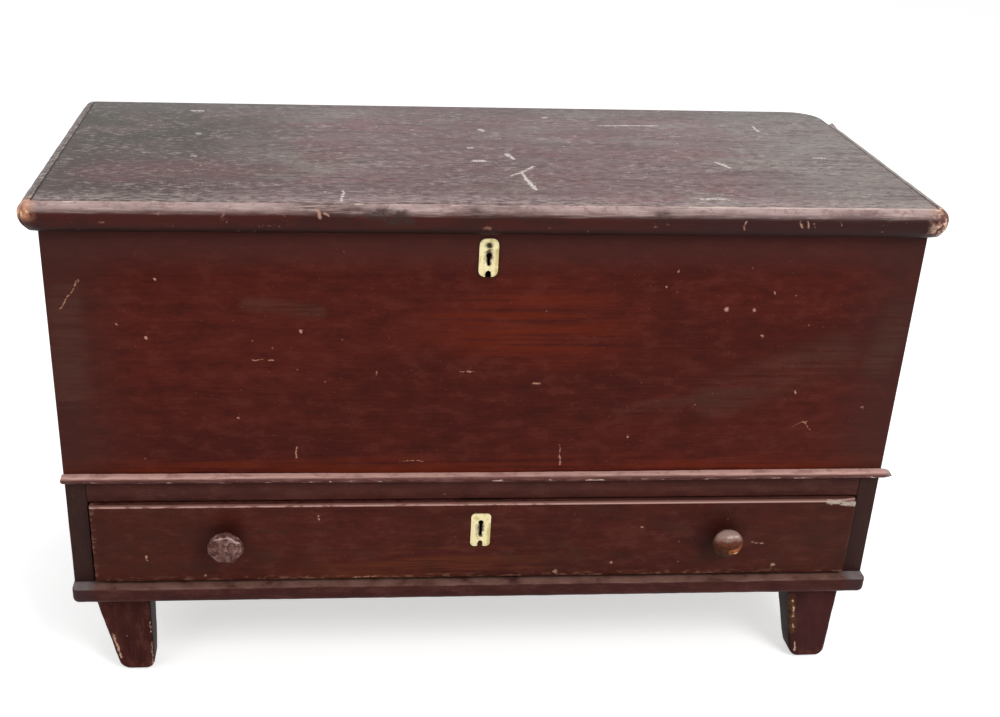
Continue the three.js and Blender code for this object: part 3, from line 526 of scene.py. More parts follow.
# The front of the well: one wide pine board, lapped over the sides and nailed. Its paint has gone thin in
# the middle, where the warm wood glows through, and is grey with dust at the top and both ends.
def copied(node):
    """A piece that starts as the sawn solid itself, with its joints and holes and its doubles merged."""
    piece = frame["nodes"][node].copy()
    piece.data = piece.data.copy()
    piece.name = node + "_worn"
    piece.parent = None
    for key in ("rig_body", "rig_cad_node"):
        del piece[key]
    bpy.context.scene.collection.objects.link(piece)
    hold(piece)
    bpy.ops.mesh.customdata_custom_splitnormals_clear()
    bpy.ops.object.mode_set(mode="EDIT")
    bpy.ops.mesh.select_all(action="SELECT")
    bpy.ops.mesh.remove_doubles(threshold=doubled)
    bpy.ops.mesh.dissolve_limited(angle_limit=math.radians(0.5))
    bpy.ops.object.mode_set(mode="OBJECT")
    return piece


def on_face(face, marks):
    """Marks as X and Z from and to, and a width, put on an upright face."""
    return [((x, face, z), (to_x, face, to_z), width) for x, z, to_x, to_z, width in marks]


front_paint = oxblood("front_paint", 0, (76, 25, 17), (64, 20, 14), (92, 41, 33), 2.0)
streaks = front_paint.grain((0.22, 0.22, 0.008), 47.0, detail=5.0)
streaky = streaks.fade(0.36, 0.6)
glow_middle, glow_spread = (0.055, front_low.y, 0.485), (5.5, 1.0, 13.0)
gone = front_paint.vector("SUBTRACT", front_paint.place, glow_middle)
gone = front_paint.vector("LENGTH", front_paint.vector("MULTIPLY", gone, glow_spread), out=1)
front_paint.coat(gone.fade(1.0, 0.15) * streaky * 0.5, (110, 38, 14))
low_glow = front_paint.high.fade(front_low.z + 0.04, front_low.z + 0.018)
front_paint.coat(low_glow * streaky * 0.5, (106, 38, 16))
dusty_top = front_paint.high.fade(front_high.z - 0.07, front_high.z - 0.03)
front_paint.coat(dusty_top * 0.65, (68, 36, 32))
from_middle = abs(front_paint.across)
front_paint.coat(from_middle.fade(0.4, 0.5) * 0.6, (58, 33, 29))
front_smears = [
    (0.28, 0.392, 0.42, 0.45, 0.04),
    (0.16, 0.377, 0.3, 0.395, 0.01),
    (-0.28, 0.512, -0.2, 0.505, 0.014),
    (0.478, 0.44, 0.492, 0.5, 0.03),
    (-0.49, 0.4, -0.486, 0.52, 0.03),
]
smears = front_paint.strokes(on_face(front_low.y, front_smears), whole=True)
front_paint.coat(smears * streaks.fade(0.3, 0.6) * 0.3, (84, 58, 48))
front_scratches = [
    (-0.4687, 0.5418, -0.475, 0.531, 0.0018),
    (-0.475, 0.531, -0.4919, 0.5079, 0.0011),
    (-0.2286, 0.3286, -0.228, 0.3135, 0.0013),
    (0.0939, 0.3289, 0.0945, 0.314, 0.0011),
    (0.0945, 0.314, 0.095, 0.3023, 0.0016),
    (-0.2768, 0.4433, -0.2493, 0.4433, 0.0009),
    (-0.1024, 0.3084, -0.0742, 0.3078, 0.0009),
    (-0.0334, 0.428, -0.0178, 0.428, 0.0012),
    (0.0551, 0.413, 0.0636, 0.413, 0.0016),
    (0.3952, 0.3618, 0.4062, 0.3479, 0.0009),
    (0.38, 0.352, 0.4, 0.361, 0.0008),
]
front_paint.coat(front_paint.strokes(on_face(front_low.y, front_scratches)) * 0.8, (184, 136, 112))
front_bruises = [  # X and Z, and a width
    (-0.3847, 0.5434, 0.0022),
    (-0.4309, 0.4884, 0.0018),
    (-0.3982, 0.4714, 0.0024),
    (-0.2209, 0.4801, 0.0028),
    (-0.1323, 0.4268, 0.0018),
    (-0.3265, 0.3981, 0.0015),
    (-0.2967, 0.368, 0.0015),
    (0.2798, 0.509, 0.0036),
    (0.3129, 0.5078, 0.0024),
    (0.335, 0.5307, 0.0018),
    (0.3273, 0.4744, 0.0026),
    (0.2047, 0.5364, 0.0018),
    (0.2157, 0.5574, 0.0018),
    (0.1763, 0.3412, 0.0024),
    (0.3791, 0.4002, 0.0018),
    (0.467, 0.3781, 0.0022),
]
bruise_lines = [(x, z, x + 0.0006, z - 0.0012, width) for x, z, width in front_bruises]
bruises = front_paint.strokes(on_face(front_low.y, bruise_lines))
front_paint.coat(bruises * 0.85, (192, 142, 124))
plate_low, plate_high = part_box("chest_escutcheon")
plate_x = (plate_low.x + plate_high.x) / 2
plate_line = (plate_x, front_low.y, plate_low.z + 0.01), (plate_x, front_low.y, plate_high.z - 0.012)
stain = front_paint.strokes([(*plate_line, 0.018)], whole=True)
front_paint.coat(stain * 0.75, (42, 22, 10))
inside = front_paint.deep.fade(front_low.y + 0.0025, front_low.y + 0.005)
inside *= from_middle.fade(front_high.x - 0.0015, front_high.x - 0.004)
bare(front_paint, inside, 0, *old_pine, 29.0)


def at_front_rim(m):
    return m.y < front_low.y + hair and (abs(m.x) > front_high.x - hair or m.z > front_high.z - hair)


front = copied("front_board")
rounded(front, arris, 3, at_front_rim)
settle(front, "front_board", front_paint)


# The waist moulding: a thin nosed strip nailed along the front board's lower edge. It has sagged a little
# in the middle, and its upper side is a light dusty pink, partly dust and partly a painted highlight.
waist_low, waist_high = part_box("waist_moulding")
waist_reach = {"left": 0.003, "right": 0.011}  # how far each end runs past the case, rounded to a tip
waist_sag, waist_round = 0.0016, 0.0053

waist_paint = Finish("waist_paint", (66, 27, 23), roughness=0.45, gloss=0.12)
lines = waist_paint.grain((0.05, 0.05, 0.002), 5.0, detail=6.0, rough=0.7)
wavy = waist_paint.high + lines * 0.004
# Painted highlight and dust: the moulding is painted lighter towards its top in two steps, over its dark
# foot.
waist_paint.coat(wavy.fade(waist_low.z + 0.0045, waist_low.z + 0.0078), (88, 52, 47))
waist_paint.coat(wavy.fade(waist_low.z + 0.0084, waist_low.z + 0.0112), (198, 156, 146))
smudges = waist_paint.grain((0.03, 0.03, 0.004), 51.0, detail=5.0, rough=0.7)
waist_paint.coat(smudges.fade(0.5, 0.62) * 0.5, (128, 88, 82))
waist_paint.coat(lines.fade(0.5, 0.7) * 0.35, (126, 86, 80))
chips = waist_paint.grain((0.016, 0.016, 0.004), 53.0, detail=4.0)
low_edge = wavy.near(waist_low.z + 0.005, 0.002)
waist_paint.coat(low_edge * chips.fade(0.58, 0.64), (208, 182, 168))
right_end = waist_paint.across.fade(waist_high.x - 0.012, waist_high.x)
waist_paint.coat(right_end * 0.8, (150, 140, 134))
waist_paint.sheen(lines, 0.35, 0.6)
waist_paint.relief(lines, 0.0004)

waist = blank("waist_moulding_worn", waist_low, waist_high)
rounded(waist, waist_round, 5, lambda m: m.y < waist_low.y + hair and abs(m.x) < 0.01)
waist_middle = (waist_low.z + waist_high.z) / 2
for end, tip, inward in (("left", waist_low.x, 1), ("right", waist_high.x, -1)):
    shares = (1.0, 0.75, 0.5, 0.25, 0.1, 0.0)
    places = [tip + inward * waist_reach[end] * share for share in shares]
    sliced(waist, 0, places[:-1])
    for share, at in list(zip(shares, places))[1:]:
        size = max(0.15, math.sqrt(1 - (1 - share) ** 2))
        shaped(
            waist,
            "VERT",
            lambda m: abs(m.x - at) < hair / 2,
            bpy.ops.transform.resize,
            value=(1, 1, size),
            center_override=(at, waist_high.y, waist_middle),
        )
sliced(waist, 0, evenly(waist_low.x + 0.02, waist_high.x - 0.02, 90))
shaped(
    waist,
    "VERT",
    lambda m: abs(m.x) < 0.012,
    bpy.ops.transform.translate,
    value=(0, 0, -waist_sag),
    use_proportional_edit=True,
    proportional_edit_falloff="SMOOTH",
    proportional_size=0.48,
)
worn(waist, 0.0009, 0.012)
settle(waist, "waist_moulding", waist_paint)


# The chest's lock: an iron box let into the back of the front board and screwed there, with a bolt that
# slides across into the lid's staple. Its key plate is thin brass, pinned over the keyhole.
iron = Finish("old_iron", (52, 47, 44), roughness=0.55, gloss=0.5, metal=0.8)
pits = iron.grain((0.006, 0.006, 0.006), 17.0)
iron.coat(pits.fade(0.5, 0.7), (82, 58, 44))
iron.sheen(pits, 0.45, 0.7)
iron.relief(pits, 0.0003)
eased([f"chest_lock_{part}" for part in ("case", "bolt", "screw_1", "screw_2")], iron)

brass = Finish("old_brass", (226, 212, 166), roughness=0.36, gloss=0.5, metal=0.55)
tarnish = brass.grain((0.009, 0.009, 0.012), 19.0, detail=4.0)
brass.coat(tarnish.fade(0.5, 0.68), (196, 180, 118))
brass.coat(brass.grain((0.004, 0.004, 0.004), 21.0).fade(0.6, 0.72) * 0.7, (120, 104, 58))
rims, sunk, holes = [], [], []
for low, high in (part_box("chest_escutcheon"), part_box("drawer_escutcheon")):
    x, y, z = (low.x + high.x) / 2, low.y, (low.z + high.z) / 2
    rims.append(((high.x, y, low.z + 0.006), (high.x, y, high.z - 0.016), 0.0065))
    sunk.append(((x - 0.0052, y, z - 0.008), (x - 0.0052, y, z + 0.009), 0.0016))
    sunk.append(((x - 0.0052, y, z + 0.009), (x + 0.0045, y, z + 0.0105), 0.0014))
    holes.append(((x + 0.0003, y, z + 0.0072), (x + 0.0003, y, z + 0.0015), 0.0058))
    holes.append(((x - 0.0002, y, z + 0.0015), (x - 0.0002, y, z - 0.005), 0.0044))
    holes.append(((x, y, low.z + 0.002), (x, y, low.z + 0.0045), 0.0052))
pin = (plate_x, plate_low.y, plate_high.z - 0.0085)
brass.coat(brass.strokes(rims, whole=True) * tarnish.fade(0.3, 0.5) * 0.8, (176, 160, 92))
brass.coat(brass.strokes([(pin, pin, 0.006)], whole=True) * 0.95, (66, 56, 20))
brass.coat(brass.strokes(sunk) * 0.6, (112, 102, 62))
# Painted shade: the keyholes and the notches at the plates' feet, painted dark on the brass round them.
brass.coat(brass.strokes(holes, whole=True) * 0.95, (40, 32, 14))
brass.sheen(tarnish, 0.28, 0.5)
brass.relief(tarnish, 0.0004)


plate_width, plate_height = 0.94, 0.95  # what wear has left of the sawn solid
square_ends = 3  # 2 leaves a plate's ends round, and more squares them


def key_plate(node):
    """A cast plate, a little worn back all round, whose round ends are filed a little square."""
    plate = copied(node)
    low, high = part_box(node)
    rounded(plate, 0.0005, 2, lambda m: m.y < low.y + hair)
    radius = (high.x - low.x) / 2
    for vertex in plate.data.vertices:
        centre = Vector((low.x + radius, min(max(vertex.co.z, low.z + radius), high.z - radius)))
        out = vertex.co.xz - centre
        if out.length > radius * 0.8 and abs(out.y) > hair:
            out *= out.length / (abs(out.x) ** square_ends + abs(out.y) ** square_ends) ** (1 / square_ends)
        vertex.co.xz = centre + Vector((out.x * plate_width, out.y))
        vertex.co.z = high.z + (vertex.co.z - high.z) * plate_height
    settle(plate, node, brass)


key_plate("chest_escutcheon")
dull_pin = Finish("dull_pin", (58, 50, 24), roughness=0.6, gloss=0.3, metal=0.4)
dull_pin.coat(dull_pin.grain((0.002, 0.002, 0.002), 35.0).fade(0.45, 0.6), (40, 34, 16))
eased(["chest_escutcheon_screw"], dull_pin)


# The lid: one wide board. What has stood on it has worn its paint thin and grey, in streaks along the
# fibre, with pale scratches and drips; its back right corner is worn round.
lid_low, lid_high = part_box("lid_board")
lid_paint = Finish("lid_paint", (110, 87, 88), roughness=0.5, gloss=0.17)
clouds = lid_paint.grain((0.16, 0.09, 0.1), 6.0, detail=4.0)
lid_paint.coat(clouds.fade(0.48, 0.58) * 0.85, (118, 106, 101))
red_clouds = lid_paint.grain((0.1, 0.05, 0.1), 8.0, detail=4.0)
lid_paint.coat(red_clouds.fade(0.5, 0.6) * 0.75, (110, 74, 77))
lid_paint.coat(lid_paint.across.fade(0.26, 0.44) * 0.8, (120, 113, 108))
to_left = lid_paint.across.fade(-0.14, -0.42)
lid_paint.coat(to_left * 0.85, (60, 49, 44))
at_left_back = to_left * lid_paint.deep.fade(-0.12, 0.06)
olive = lid_paint.grain((0.09, 0.07, 0.1), 16.0, detail=4.0).fade(0.42, 0.54)
lid_paint.coat(at_left_back * olive * 0.9, (44, 40, 24))
mauve = lid_paint.strokes([((-0.44, -0.1, lid_high.z), (-0.33, -0.08, lid_high.z), 0.06)], whole=True)
lid_paint.coat(mauve * 0.5, (104, 62, 66))
lid_paint.coat(lid_paint.deep.fade(0.17, 0.22) * 0.45, (88, 86, 82))
lid_paint.coat(lid_paint.across.near(0.0, 0.16) * 0.5, (88, 62, 64))
broad = lid_paint.grain((0.12, 0.014, 0.1), 10.0, detail=5.0, rough=0.65)
lid_paint.coat(broad.fade(0.5, 0.6) * 0.6, (76, 58, 58))
fine = lid_paint.grain((0.016, 0.0048, 0.03), 12.0, detail=6.0, rough=0.8)
lid_paint.coat(fine.fade(0.53, 0.66) * 0.55, (152, 139, 134))
lid_paint.coat(fine.fade(0.47, 0.36) * 0.75, (60, 45, 43))
flecks = lid_paint.grain((0.012, 0.005, 0.02), 14.0, detail=4.0, rough=0.7)
lid_paint.coat(flecks.fade(0.64, 0.7) * 0.65, (186, 174, 166))
specks = lid_paint.grain((0.012, 0.0055, 0.02), 18.0, detail=5.0, rough=0.75)
zones = lid_paint.grain((0.08, 0.03, 0.1), 20.0, detail=4.0)
scoured = zones.fade(0.36, 0.62) * specks.fade(0.52, 0.62)
lid_paint.coat(scoured * 0.55, (170, 158, 153))
lid_paint.coat(specks.fade(0.46, 0.37) * 0.6, (48, 37, 36))
near_front = lid_paint.deep.fade(-0.16, -0.205)
lid_paint.coat(near_front * flecks.fade(0.4, 0.6) * 0.65, (160, 143, 140))
lid_paint.coat(lid_paint.knocks(0.03, 0.0045, 3.0) * 0.75, (186, 172, 166))
crack = abs(lid_paint.across).fade(lid_high.x - 0.003, lid_high.x - 0.0012)
lid_paint.coat(crack * fine.fade(0.3, 0.5), (24, 17, 16))
lid_drips = [  # X and Y from and to, and a width
    (-0.0081, -0.0345, 0.0034, -0.0338, 0.006),
    (0.0352, -0.0011, 0.041, -0.0233, 0.0045),
    (0.03, -0.0961, 0.0444, -0.082, 0.0028),
    (0.0444, -0.082, 0.0608, -0.0566, 0.0026),
    (0.0444, -0.082, 0.046, -0.11, 0.0032),
    (0.046, -0.11, 0.0515, -0.1511, 0.0042),
    (0.0128, 0.1199, 0.016, 0.112, 0.005),
    (-0.0093, 0.0271, -0.007, 0.0271, 0.005),
    (-0.3555, 0.0797, -0.354, 0.0797, 0.0045),
    (-0.3739, 0.199, -0.36, 0.199, 0.005),
    (-0.3523, -0.0273, -0.35, -0.0273, 0.004),
    (-0.1713, -0.1651, -0.1735, -0.2027, 0.0024),
    (0.3982, 0.1554, 0.3974, 0.1284, 0.0028),
    (0.298, -0.0288, 0.3091, -0.0508, 0.004),
    (0.1817, 0.1488, 0.2615, 0.1533, 0.003),
    (0.1092, 0.1888, 0.112, 0.1888, 0.005),
    (0.4323, 0.0001, 0.4469, -0.0024, 0.003),
    (0.2401, -0.1822, 0.2697, -0.1813, 0.003),
]
top = lid_high.z
drips = lid_paint.strokes([((x, y, top), (to_x, to_y, top), width) for x, y, to_x, to_y, width in lid_drips])
lid_paint.coat(drips * 0.9, (212, 202, 196))
underneath = lid_paint.high.fade(lid_low.z + 0.0035, lid_low.z + 0.0015)
bare(lid_paint, underneath, 0, *old_pine, 37.0)
lid_paint.sheen(fine, 0.38, 0.62)
lid_paint.relief(fine, 0.0005)

lid = copied("lid_board")
rounded(lid, 0.0012, 2, lambda m: m.z > lid_high.z - hair)
settle(lid, "lid_board", lid_paint)


# The lid's mouldings: nosed pine strips nailed on the front and both ends, mitred at the front corners,
# which are worn round to the bare wood. The back end of the right one has broken away.
nose_low, nose_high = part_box("lid_moulding_front")
tip_low, tip_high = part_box("lid_moulding_left")[0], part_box("lid_moulding_right")[1]
nose_low.x, nose_high.x = tip_low.x, tip_high.x
nose_radius = 0.0165
nose_depth = lid_low.y - nose_low.y
nose_wear = 0.0011, 0.012  # how deep, and the size of its marks

nose_paint = Finish("nose_paint", (62, 25, 20), roughness=0.42, gloss=0.09)
lines = nose_paint.grain((0.04, 0.04, 0.0016), 8.0, detail=6.0, rough=0.7)
nose_paint.coat(lines.fade(0.5, 0.7) * 0.3, (84, 40, 34))
patches = nose_paint.grain((0.06, 0.06, 0.02), 9.0, detail=4.0)
nose_paint.coat(patches.fade(0.5, 0.64) * 0.6, (44, 24, 21))
# Painted shade: near black towards the foot of the nose.
nose_paint.coat(nose_paint.high.fade(nose_low.z + 0.014, nose_low.z + 0.003), (34, 17, 15))
nose_paint.coat(nose_paint.across.fade(0.05, 0.3) * 0.7, (46, 25, 25))
on_front = nose_paint.deep.fade(-0.2, -0.206)
wavy = nose_paint.high + lines * 0.006
# The upper band of the nose is painted pale: partly dust and rubbed paint, partly a painted sheen.
rubbed = on_front * wavy.fade(nose_high.z - 0.0088, nose_high.z + 0.0008)
nose_paint.coat(rubbed * patches.fade(0.85, 0.4), (166, 143, 139))
nose_paint.coat(rubbed * lines.fade(0.5, 0.64) * 0.6, (190, 168, 163))
smudges = nose_paint.grain((0.012, 0.012, 0.009), 57.0, detail=6.0, rough=0.75)
nose_paint.coat(rubbed * smudges.fade(0.52, 0.62) * 0.5, (112, 74, 72))
flakes = nose_paint.grain((0.018, 0.018, 0.01), 59.0, detail=5.0)
# A painted highlight along the nose's top arris, stronger towards the right, broken with pale chips.
on_rim = on_front * nose_paint.high.fade(nose_high.z - 0.0014, nose_high.z - 0.0006)
chips_and_highlight = flakes.fade(0.56, 0.64) | nose_paint.across.fade(0.1, 0.3) * 0.6
nose_paint.coat(on_rim * chips_and_highlight * 0.9, (206, 186, 176))
chips = nose_paint.grain((0.006, 0.006, 0.006), 61.0, detail=3.0)
flaking = flakes.fade(0.62, 0.68) * chips.fade(0.55, 0.6) * on_front
nose_paint.coat(flaking * 0.5, (150, 108, 96))
nose_paint.coat(nose_paint.knocks(0.022, 0.003, 5.0) * 0.45, (150, 108, 94))
at_side = nose_paint.deep.fade(-0.206, -0.2) * wavy.fade(nose_high.z - 0.014, nose_high.z - 0.006)
nose_paint.coat(at_side, (96, 84, 79))
nose_paint.coat(at_side * nose_paint.across.fade(0.0, 0.1) * 0.8, (150, 134, 126))
nose_paint.coat(at_side * chips.fade(0.52, 0.62) * 0.7, (170, 158, 152))
nose_paint.coat(at_side * chips.fade(0.46, 0.36) * 0.6, (48, 37, 36))
nose_scuffs = [
    ((-0.14, -0.2235, 0.628), (-0.106, -0.223, 0.6285), 0.012),
    ((-0.122, -0.2255, 0.62), (-0.098, -0.2255, 0.62), 0.008),
]
scuffed = nose_paint.strokes(nose_scuffs, whole=True) * smudges.fade(0.3, 0.6)
nose_paint.coat(scuffed * 0.85, (52, 40, 37))
nose_gouges = [  # from and to, and a width
    ((-0.1996, -0.2212, 0.631), (-0.1975, -0.2248, 0.6245), 0.0026),
    ((-0.192, -0.2232, 0.628), (-0.187, -0.2242, 0.6265), 0.0024),
    ((0.2816, -0.2254, 0.6235), (0.2816, -0.2257, 0.613), 0.0016),
    ((0.3456, -0.2254, 0.6225), (0.3475, -0.2257, 0.6175), 0.0017),
    ((0.354, -0.2254, 0.623), (0.355, -0.2257, 0.616), 0.0016),
    ((0.3615, -0.2254, 0.6215), (0.363, -0.2257, 0.6165), 0.0015),
    ((0.3923, -0.2254, 0.6226), (0.3935, -0.2257, 0.62), 0.0015),
]
gouges = nose_paint.strokes(nose_gouges, whole=True)
nose_paint.coat(gouges * chips.fade(0.4, 0.5) * 0.8, (176, 134, 116))
left_tip = nose_paint.across.fade(nose_low.x + 0.028, nose_low.x + 0.006)
left_tip *= nose_paint.deep.fade(-0.19, -0.205)
right_tip = nose_paint.across.fade(nose_high.x - 0.036, nose_high.x - 0.01)
right_tip *= nose_paint.deep.fade(-0.185, -0.205)
bare_wood = wavy.fade(nose_high.z - 0.019, nose_high.z - 0.01)
nose_paint.coat(left_tip * bare_wood * chips.fade(0.32, 0.5), (204, 142, 108))
nose_paint.coat(left_tip * bare_wood * chips.fade(0.54, 0.62), (232, 196, 160))
pink_wood = wavy.fade(nose_low.z + 0.004, nose_low.z + 0.012)
nose_paint.coat(right_tip * pink_wood * 0.75, (104, 68, 60))
right_chips = right_tip * pink_wood
nose_paint.coat(right_chips * chips.fade(0.47, 0.54) * 0.9, (184, 142, 122))
nose_paint.coat(right_chips * chips.fade(0.56, 0.6), (226, 198, 172))
nose_paint.sheen(lines, 0.32, 0.55)
nose_paint.relief(lines, 0.0005)


def planed(piece, place, away):
    """Planes off all that lies past a flat through the place, on the side that the arrow points to."""
    cut(piece, [place], away, use_fill=True, clear_outer=True)


def cornered(piece, corner, radius_high, radius_low):
    """Wears an outer corner round, from a radius at the top of the moulding to another at its foot."""
    side = Vector((math.copysign(1, corner.x), math.copysign(1, corner.y)))
    for vertex in piece.data.vertices:
        drop = (nose_high.z - vertex.co.z) / (nose_high.z - nose_low.z)
        radius = radius_high + (radius_low - radius_high) * drop
        centre = corner - side * radius
        out = (vertex.co.xy - centre) * side
        if min(out) <= 0:
            continue
        recess = (radius - max(out)) / nose_depth
        share = max(0.0, 1 - recess * recess)
        out = out.lerp(out.normalized() * max(out), share)
        vertex.co.xy = centre + out * side


front_corners = {
    "left": (nose_low.xy, 0.018, 0.03),
    "right": (Vector((nose_high.x, nose_low.y)), 0.024, 0.03),
}
corner_slices = [0.0025 * (n + 1) for n in range(12)]

front_nose = blank("lid_moulding_front_worn", nose_low, nose_high)
rounded(front_nose, nose_radius, 8, lambda m: m.y < nose_low.y + hair and abs(m.x) < 0.01)
sliced(front_nose, 0, evenly(nose_low.x + 0.03, nose_high.x - 0.03, 100))
sliced(front_nose, 0, [nose_low.x + step for step in corner_slices])
sliced(front_nose, 0, [nose_high.x - step for step in corner_slices])
for end, (corner, radius_high, radius_low) in front_corners.items():
    side = math.copysign(1, corner.x)
    planed(front_nose, (side * lid_high.x, lid_low.y, 0), (side, 1, 0))
    cornered(front_nose, corner, radius_high, radius_low)
worn(front_nose, *nose_wear)
settle(front_nose, "lid_moulding_front", nose_paint)

for end, (corner, radius_high, radius_low) in front_corners.items():
    node = f"lid_moulding_{end}"
    low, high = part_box(node)
    side = math.copysign(1, corner.x)
    nose = blank(node + "_worn", low, high)
    tip = low.x if end == "left" else high.x
    rounded(nose, nose_radius, 8, lambda m: abs(m.x - tip) < hair and abs(m.y) < 0.1)
    sliced(nose, 1, evenly(low.y + 0.03, high.y - 0.005, 44))
    sliced(nose, 1, [corner.y + step for step in corner_slices])
    planed(nose, (side * lid_high.x, lid_low.y, 0), (-side, -1, 0))
    cornered(nose, corner, radius_high, radius_low)
    if end == "left":
        cornered(nose, Vector((low.x, high.y)), 0.01, 0.014)
    else:
        pick(nose, "VERT", lambda m: m.y > high.y - hair)
        bpy.ops.transform.translate(value=(0, -0.003, 0))
        bpy.ops.transform.vertex_random(offset=0.003, seed=4)
        bpy.ops.object.mode_set(mode="OBJECT")
    worn(nose, *nose_wear)
    settle(nose, node, nose_paint)


# The lid's iron: the staple that the lock's bolt shoots through, screwed up into the lid, and two butt
# hinges let into the lid and the upper back board.
eased([name for name in frame["nodes"] if name.startswith(("lid_staple", "hinge_"))], iron)


# The drawer: a thick front with lapped dovetails, thin sides and back, and a bottom let into grooves. The
# front stands a little proud of the case; its upper arris is pale, partly rubbed paint and partly a painted
# highlight, and its right end is chipped.
drawer_low, drawer_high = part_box("drawer_front")
drawer_paint = oxblood("drawer_paint", 0, (72, 27, 20), (61, 24, 18), (90, 47, 39), 21.0)
streaky = drawer_paint.grain((0.16, 0.16, 0.007), 63.0).fade(0.4, 0.62)
warm = drawer_paint.across.near(-0.05, 0.25)
warm *= drawer_paint.high.fade(drawer_low.z + 0.06, drawer_low.z + 0.01)
drawer_paint.coat(warm * streaky * 0.8, (96, 48, 24))
scuffs = drawer_paint.grain((0.012, 0.012, 0.004), 67.0, detail=4.0)
foot_edge = drawer_paint.high.fade(drawer_low.z + 0.01, drawer_low.z + 0.001)
drawer_paint.coat(foot_edge * scuffs.fade(0.5, 0.62) * 0.7, (126, 90, 72))
dirt = drawer_paint.grain((0.05, 0.05, 0.03), 65.0, detail=6.0, rough=0.7)
at_corners = (abs(drawer_paint.across) + dirt * 0.2).fade(0.34, 0.56)
drawer_paint.coat(at_corners * 0.2, (60, 38, 26))
drawer_paint.coat(dirt.fade(0.52, 0.64) * 0.4, (58, 34, 24))
left_edge = drawer_paint.across.fade(drawer_low.x + 0.008, drawer_low.x)
drawer_paint.coat(left_edge * scuffs.fade(0.5, 0.62) * 0.6, (146, 108, 94))
# The top of the proud front and its upper arris are painted pale: rubbed paint, and a painted highlight that
# grows brighter towards the right.
on_top = drawer_paint.high.fade(drawer_high.z - 0.0026, drawer_high.z - 0.001)
rubbed_and_lit_top = drawer_paint.deep.fade(drawer_low.y + 0.006, drawer_low.y + 0.0035)
drawer_paint.coat(on_top * rubbed_and_lit_top * 0.9, (136, 94, 86))
at_arris = drawer_paint.high.near(drawer_high.z - 0.0012, 0.0014)
rubbed_and_highlit = scuffs.fade(0.36, 0.54) | drawer_paint.across.fade(0.02, 0.16)
drawer_paint.coat(at_arris * rubbed_and_highlit * 0.85, (196, 158, 148))
drawer_marks = [
    (-0.2019, 0.2365, -0.2019, 0.2315, 0.0018),
    (-0.4147, 0.18, -0.4147, 0.176, 0.002),
    (-0.1623, 0.1455, -0.1267, 0.147, 0.0012),
    (-0.2155, 0.147, -0.2145, 0.147, 0.0026),
    (-0.3453, 0.1509, -0.344, 0.1509, 0.002),
    (0.0989, 0.1513, 0.0995, 0.151, 0.0034),
    (0.1702, 0.163, 0.171, 0.163, 0.0022),
    (0.2056, 0.2153, 0.2066, 0.2153, 0.002),
    (0.3527, 0.1915, 0.3674, 0.1894, 0.0016),
    (0.3824, 0.1565, 0.385, 0.1565, 0.003),
]
drawer_paint.coat(drawer_paint.strokes(on_face(drawer_low.y, drawer_marks)) * 0.8, (186, 142, 122))
knob_boxes = {end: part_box(f"knob_{end}") for end in ("left", "right")}
knob_middles = {}
for end, (low, high) in knob_boxes.items():
    knob_middles[end] = Vector(((low.x + high.x) / 2, low.y, (low.z + high.z) / 2))
# Painted shadow of each knob: a dark smudge on the drawer front to its left and a little below.
knob_shadow_marks = [(at.x - 0.018, at.z - 0.004, at.x, at.z + 0.002, 0.034) for at in knob_middles.values()]
knob_shadow = drawer_paint.strokes(on_face(drawer_low.y, knob_shadow_marks), whole=True)
drawer_paint.coat(knob_shadow * 0.6, (40, 17, 13))
behind = drawer_paint.deep.fade(drawer_low.y + 0.015, drawer_low.y + 0.018)
bare(drawer_paint, behind, 0, (160, 126, 88), (134, 100, 66), 39.0)
chip_line = (0.444, drawer_low.y, 0.2505), (0.486, drawer_low.y, 0.2445)
chipped = drawer_paint.strokes([(*chip_line, 0.0045)], whole=True)
drawer_paint.coat(chipped * scuffs.fade(0.34, 0.48) * 0.9, (190, 172, 158))


def at_drawer_rim(m):
    at_end = abs(m.x) > drawer_high.x - hair
    return m.y < drawer_low.y + hair and (at_end or min(m.z - drawer_low.z, drawer_high.z - m.z) < hair)


drawer = copied("drawer_front")
rounded(drawer, 0.0026, 4, at_drawer_rim)
planed(drawer, (0.445, drawer_low.y, drawer_high.z - 0.001), (0.1, -0.5, 0.8))
settle(drawer, "drawer_front", drawer_paint)

clean_pine = (176, 140, 98), (150, 114, 74)
drawer_pine = pine("drawer_pine", 1, *clean_pine, 23.0)
cross_pine = pine("cross_pine", 0, *clean_pine, 25.0)
eased(["drawer_side_left", "drawer_side_right"], drawer_pine, 0.0005)
eased(["drawer_back", "drawer_bottom"], cross_pine, 0.0005)
eased([f"drawer_lock_{part}" for part in ("case", "bolt", "screw_1", "screw_2")], iron)
key_plate("drawer_escutcheon")


# The knobs: two turned pulls, each with a tenon glued through the drawer front. The left one has a flat
# face whittled to eight flats, and the right one is a later dome, rubbed bare where a thumb pulls it.
def turned(name, middle, rings, sides=48):
    """Turns a piece about an axis along Y; each ring is a radius and a place on the axis, from the back."""
    (radius, start), (_, stop) = rings[:2]
    bpy.ops.object.select_all(action="DESELECT")
    bpy.ops.mesh.primitive_cylinder_add(
        vertices=sides,
        radius=radius,
        depth=start - stop,
        location=(middle.x, (start + stop) / 2, middle.z),
        rotation=(math.pi / 2, 0, 0),
    )
    bpy.ops.object.transform_apply(location=True, rotation=True, scale=True)
    piece = bpy.context.object
    piece.name = name
    pick(piece, "FACE", lambda m: m.y < stop + hair)
    for radius_next, stop_next in rings[2:]:
        bpy.ops.mesh.extrude_region_move(TRANSFORM_OT_translate={"value": (0, stop_next - stop, 0)})
        size = radius_next / radius
        ring_middle = (middle.x, stop_next, middle.z)
        bpy.ops.transform.resize(value=(size, 1, size), center_override=ring_middle)
        radius, stop = radius_next, stop_next
    bpy.ops.object.mode_set(mode="OBJECT")
    return piece


knob_tenon, knob_neck, knob_foot = 0.007, 0.0085, 0.0098  # radii
knob_foot_height, knob_neck_start, knob_cove = 0.0013, 0.0028, 0.009  # along the knob's axis


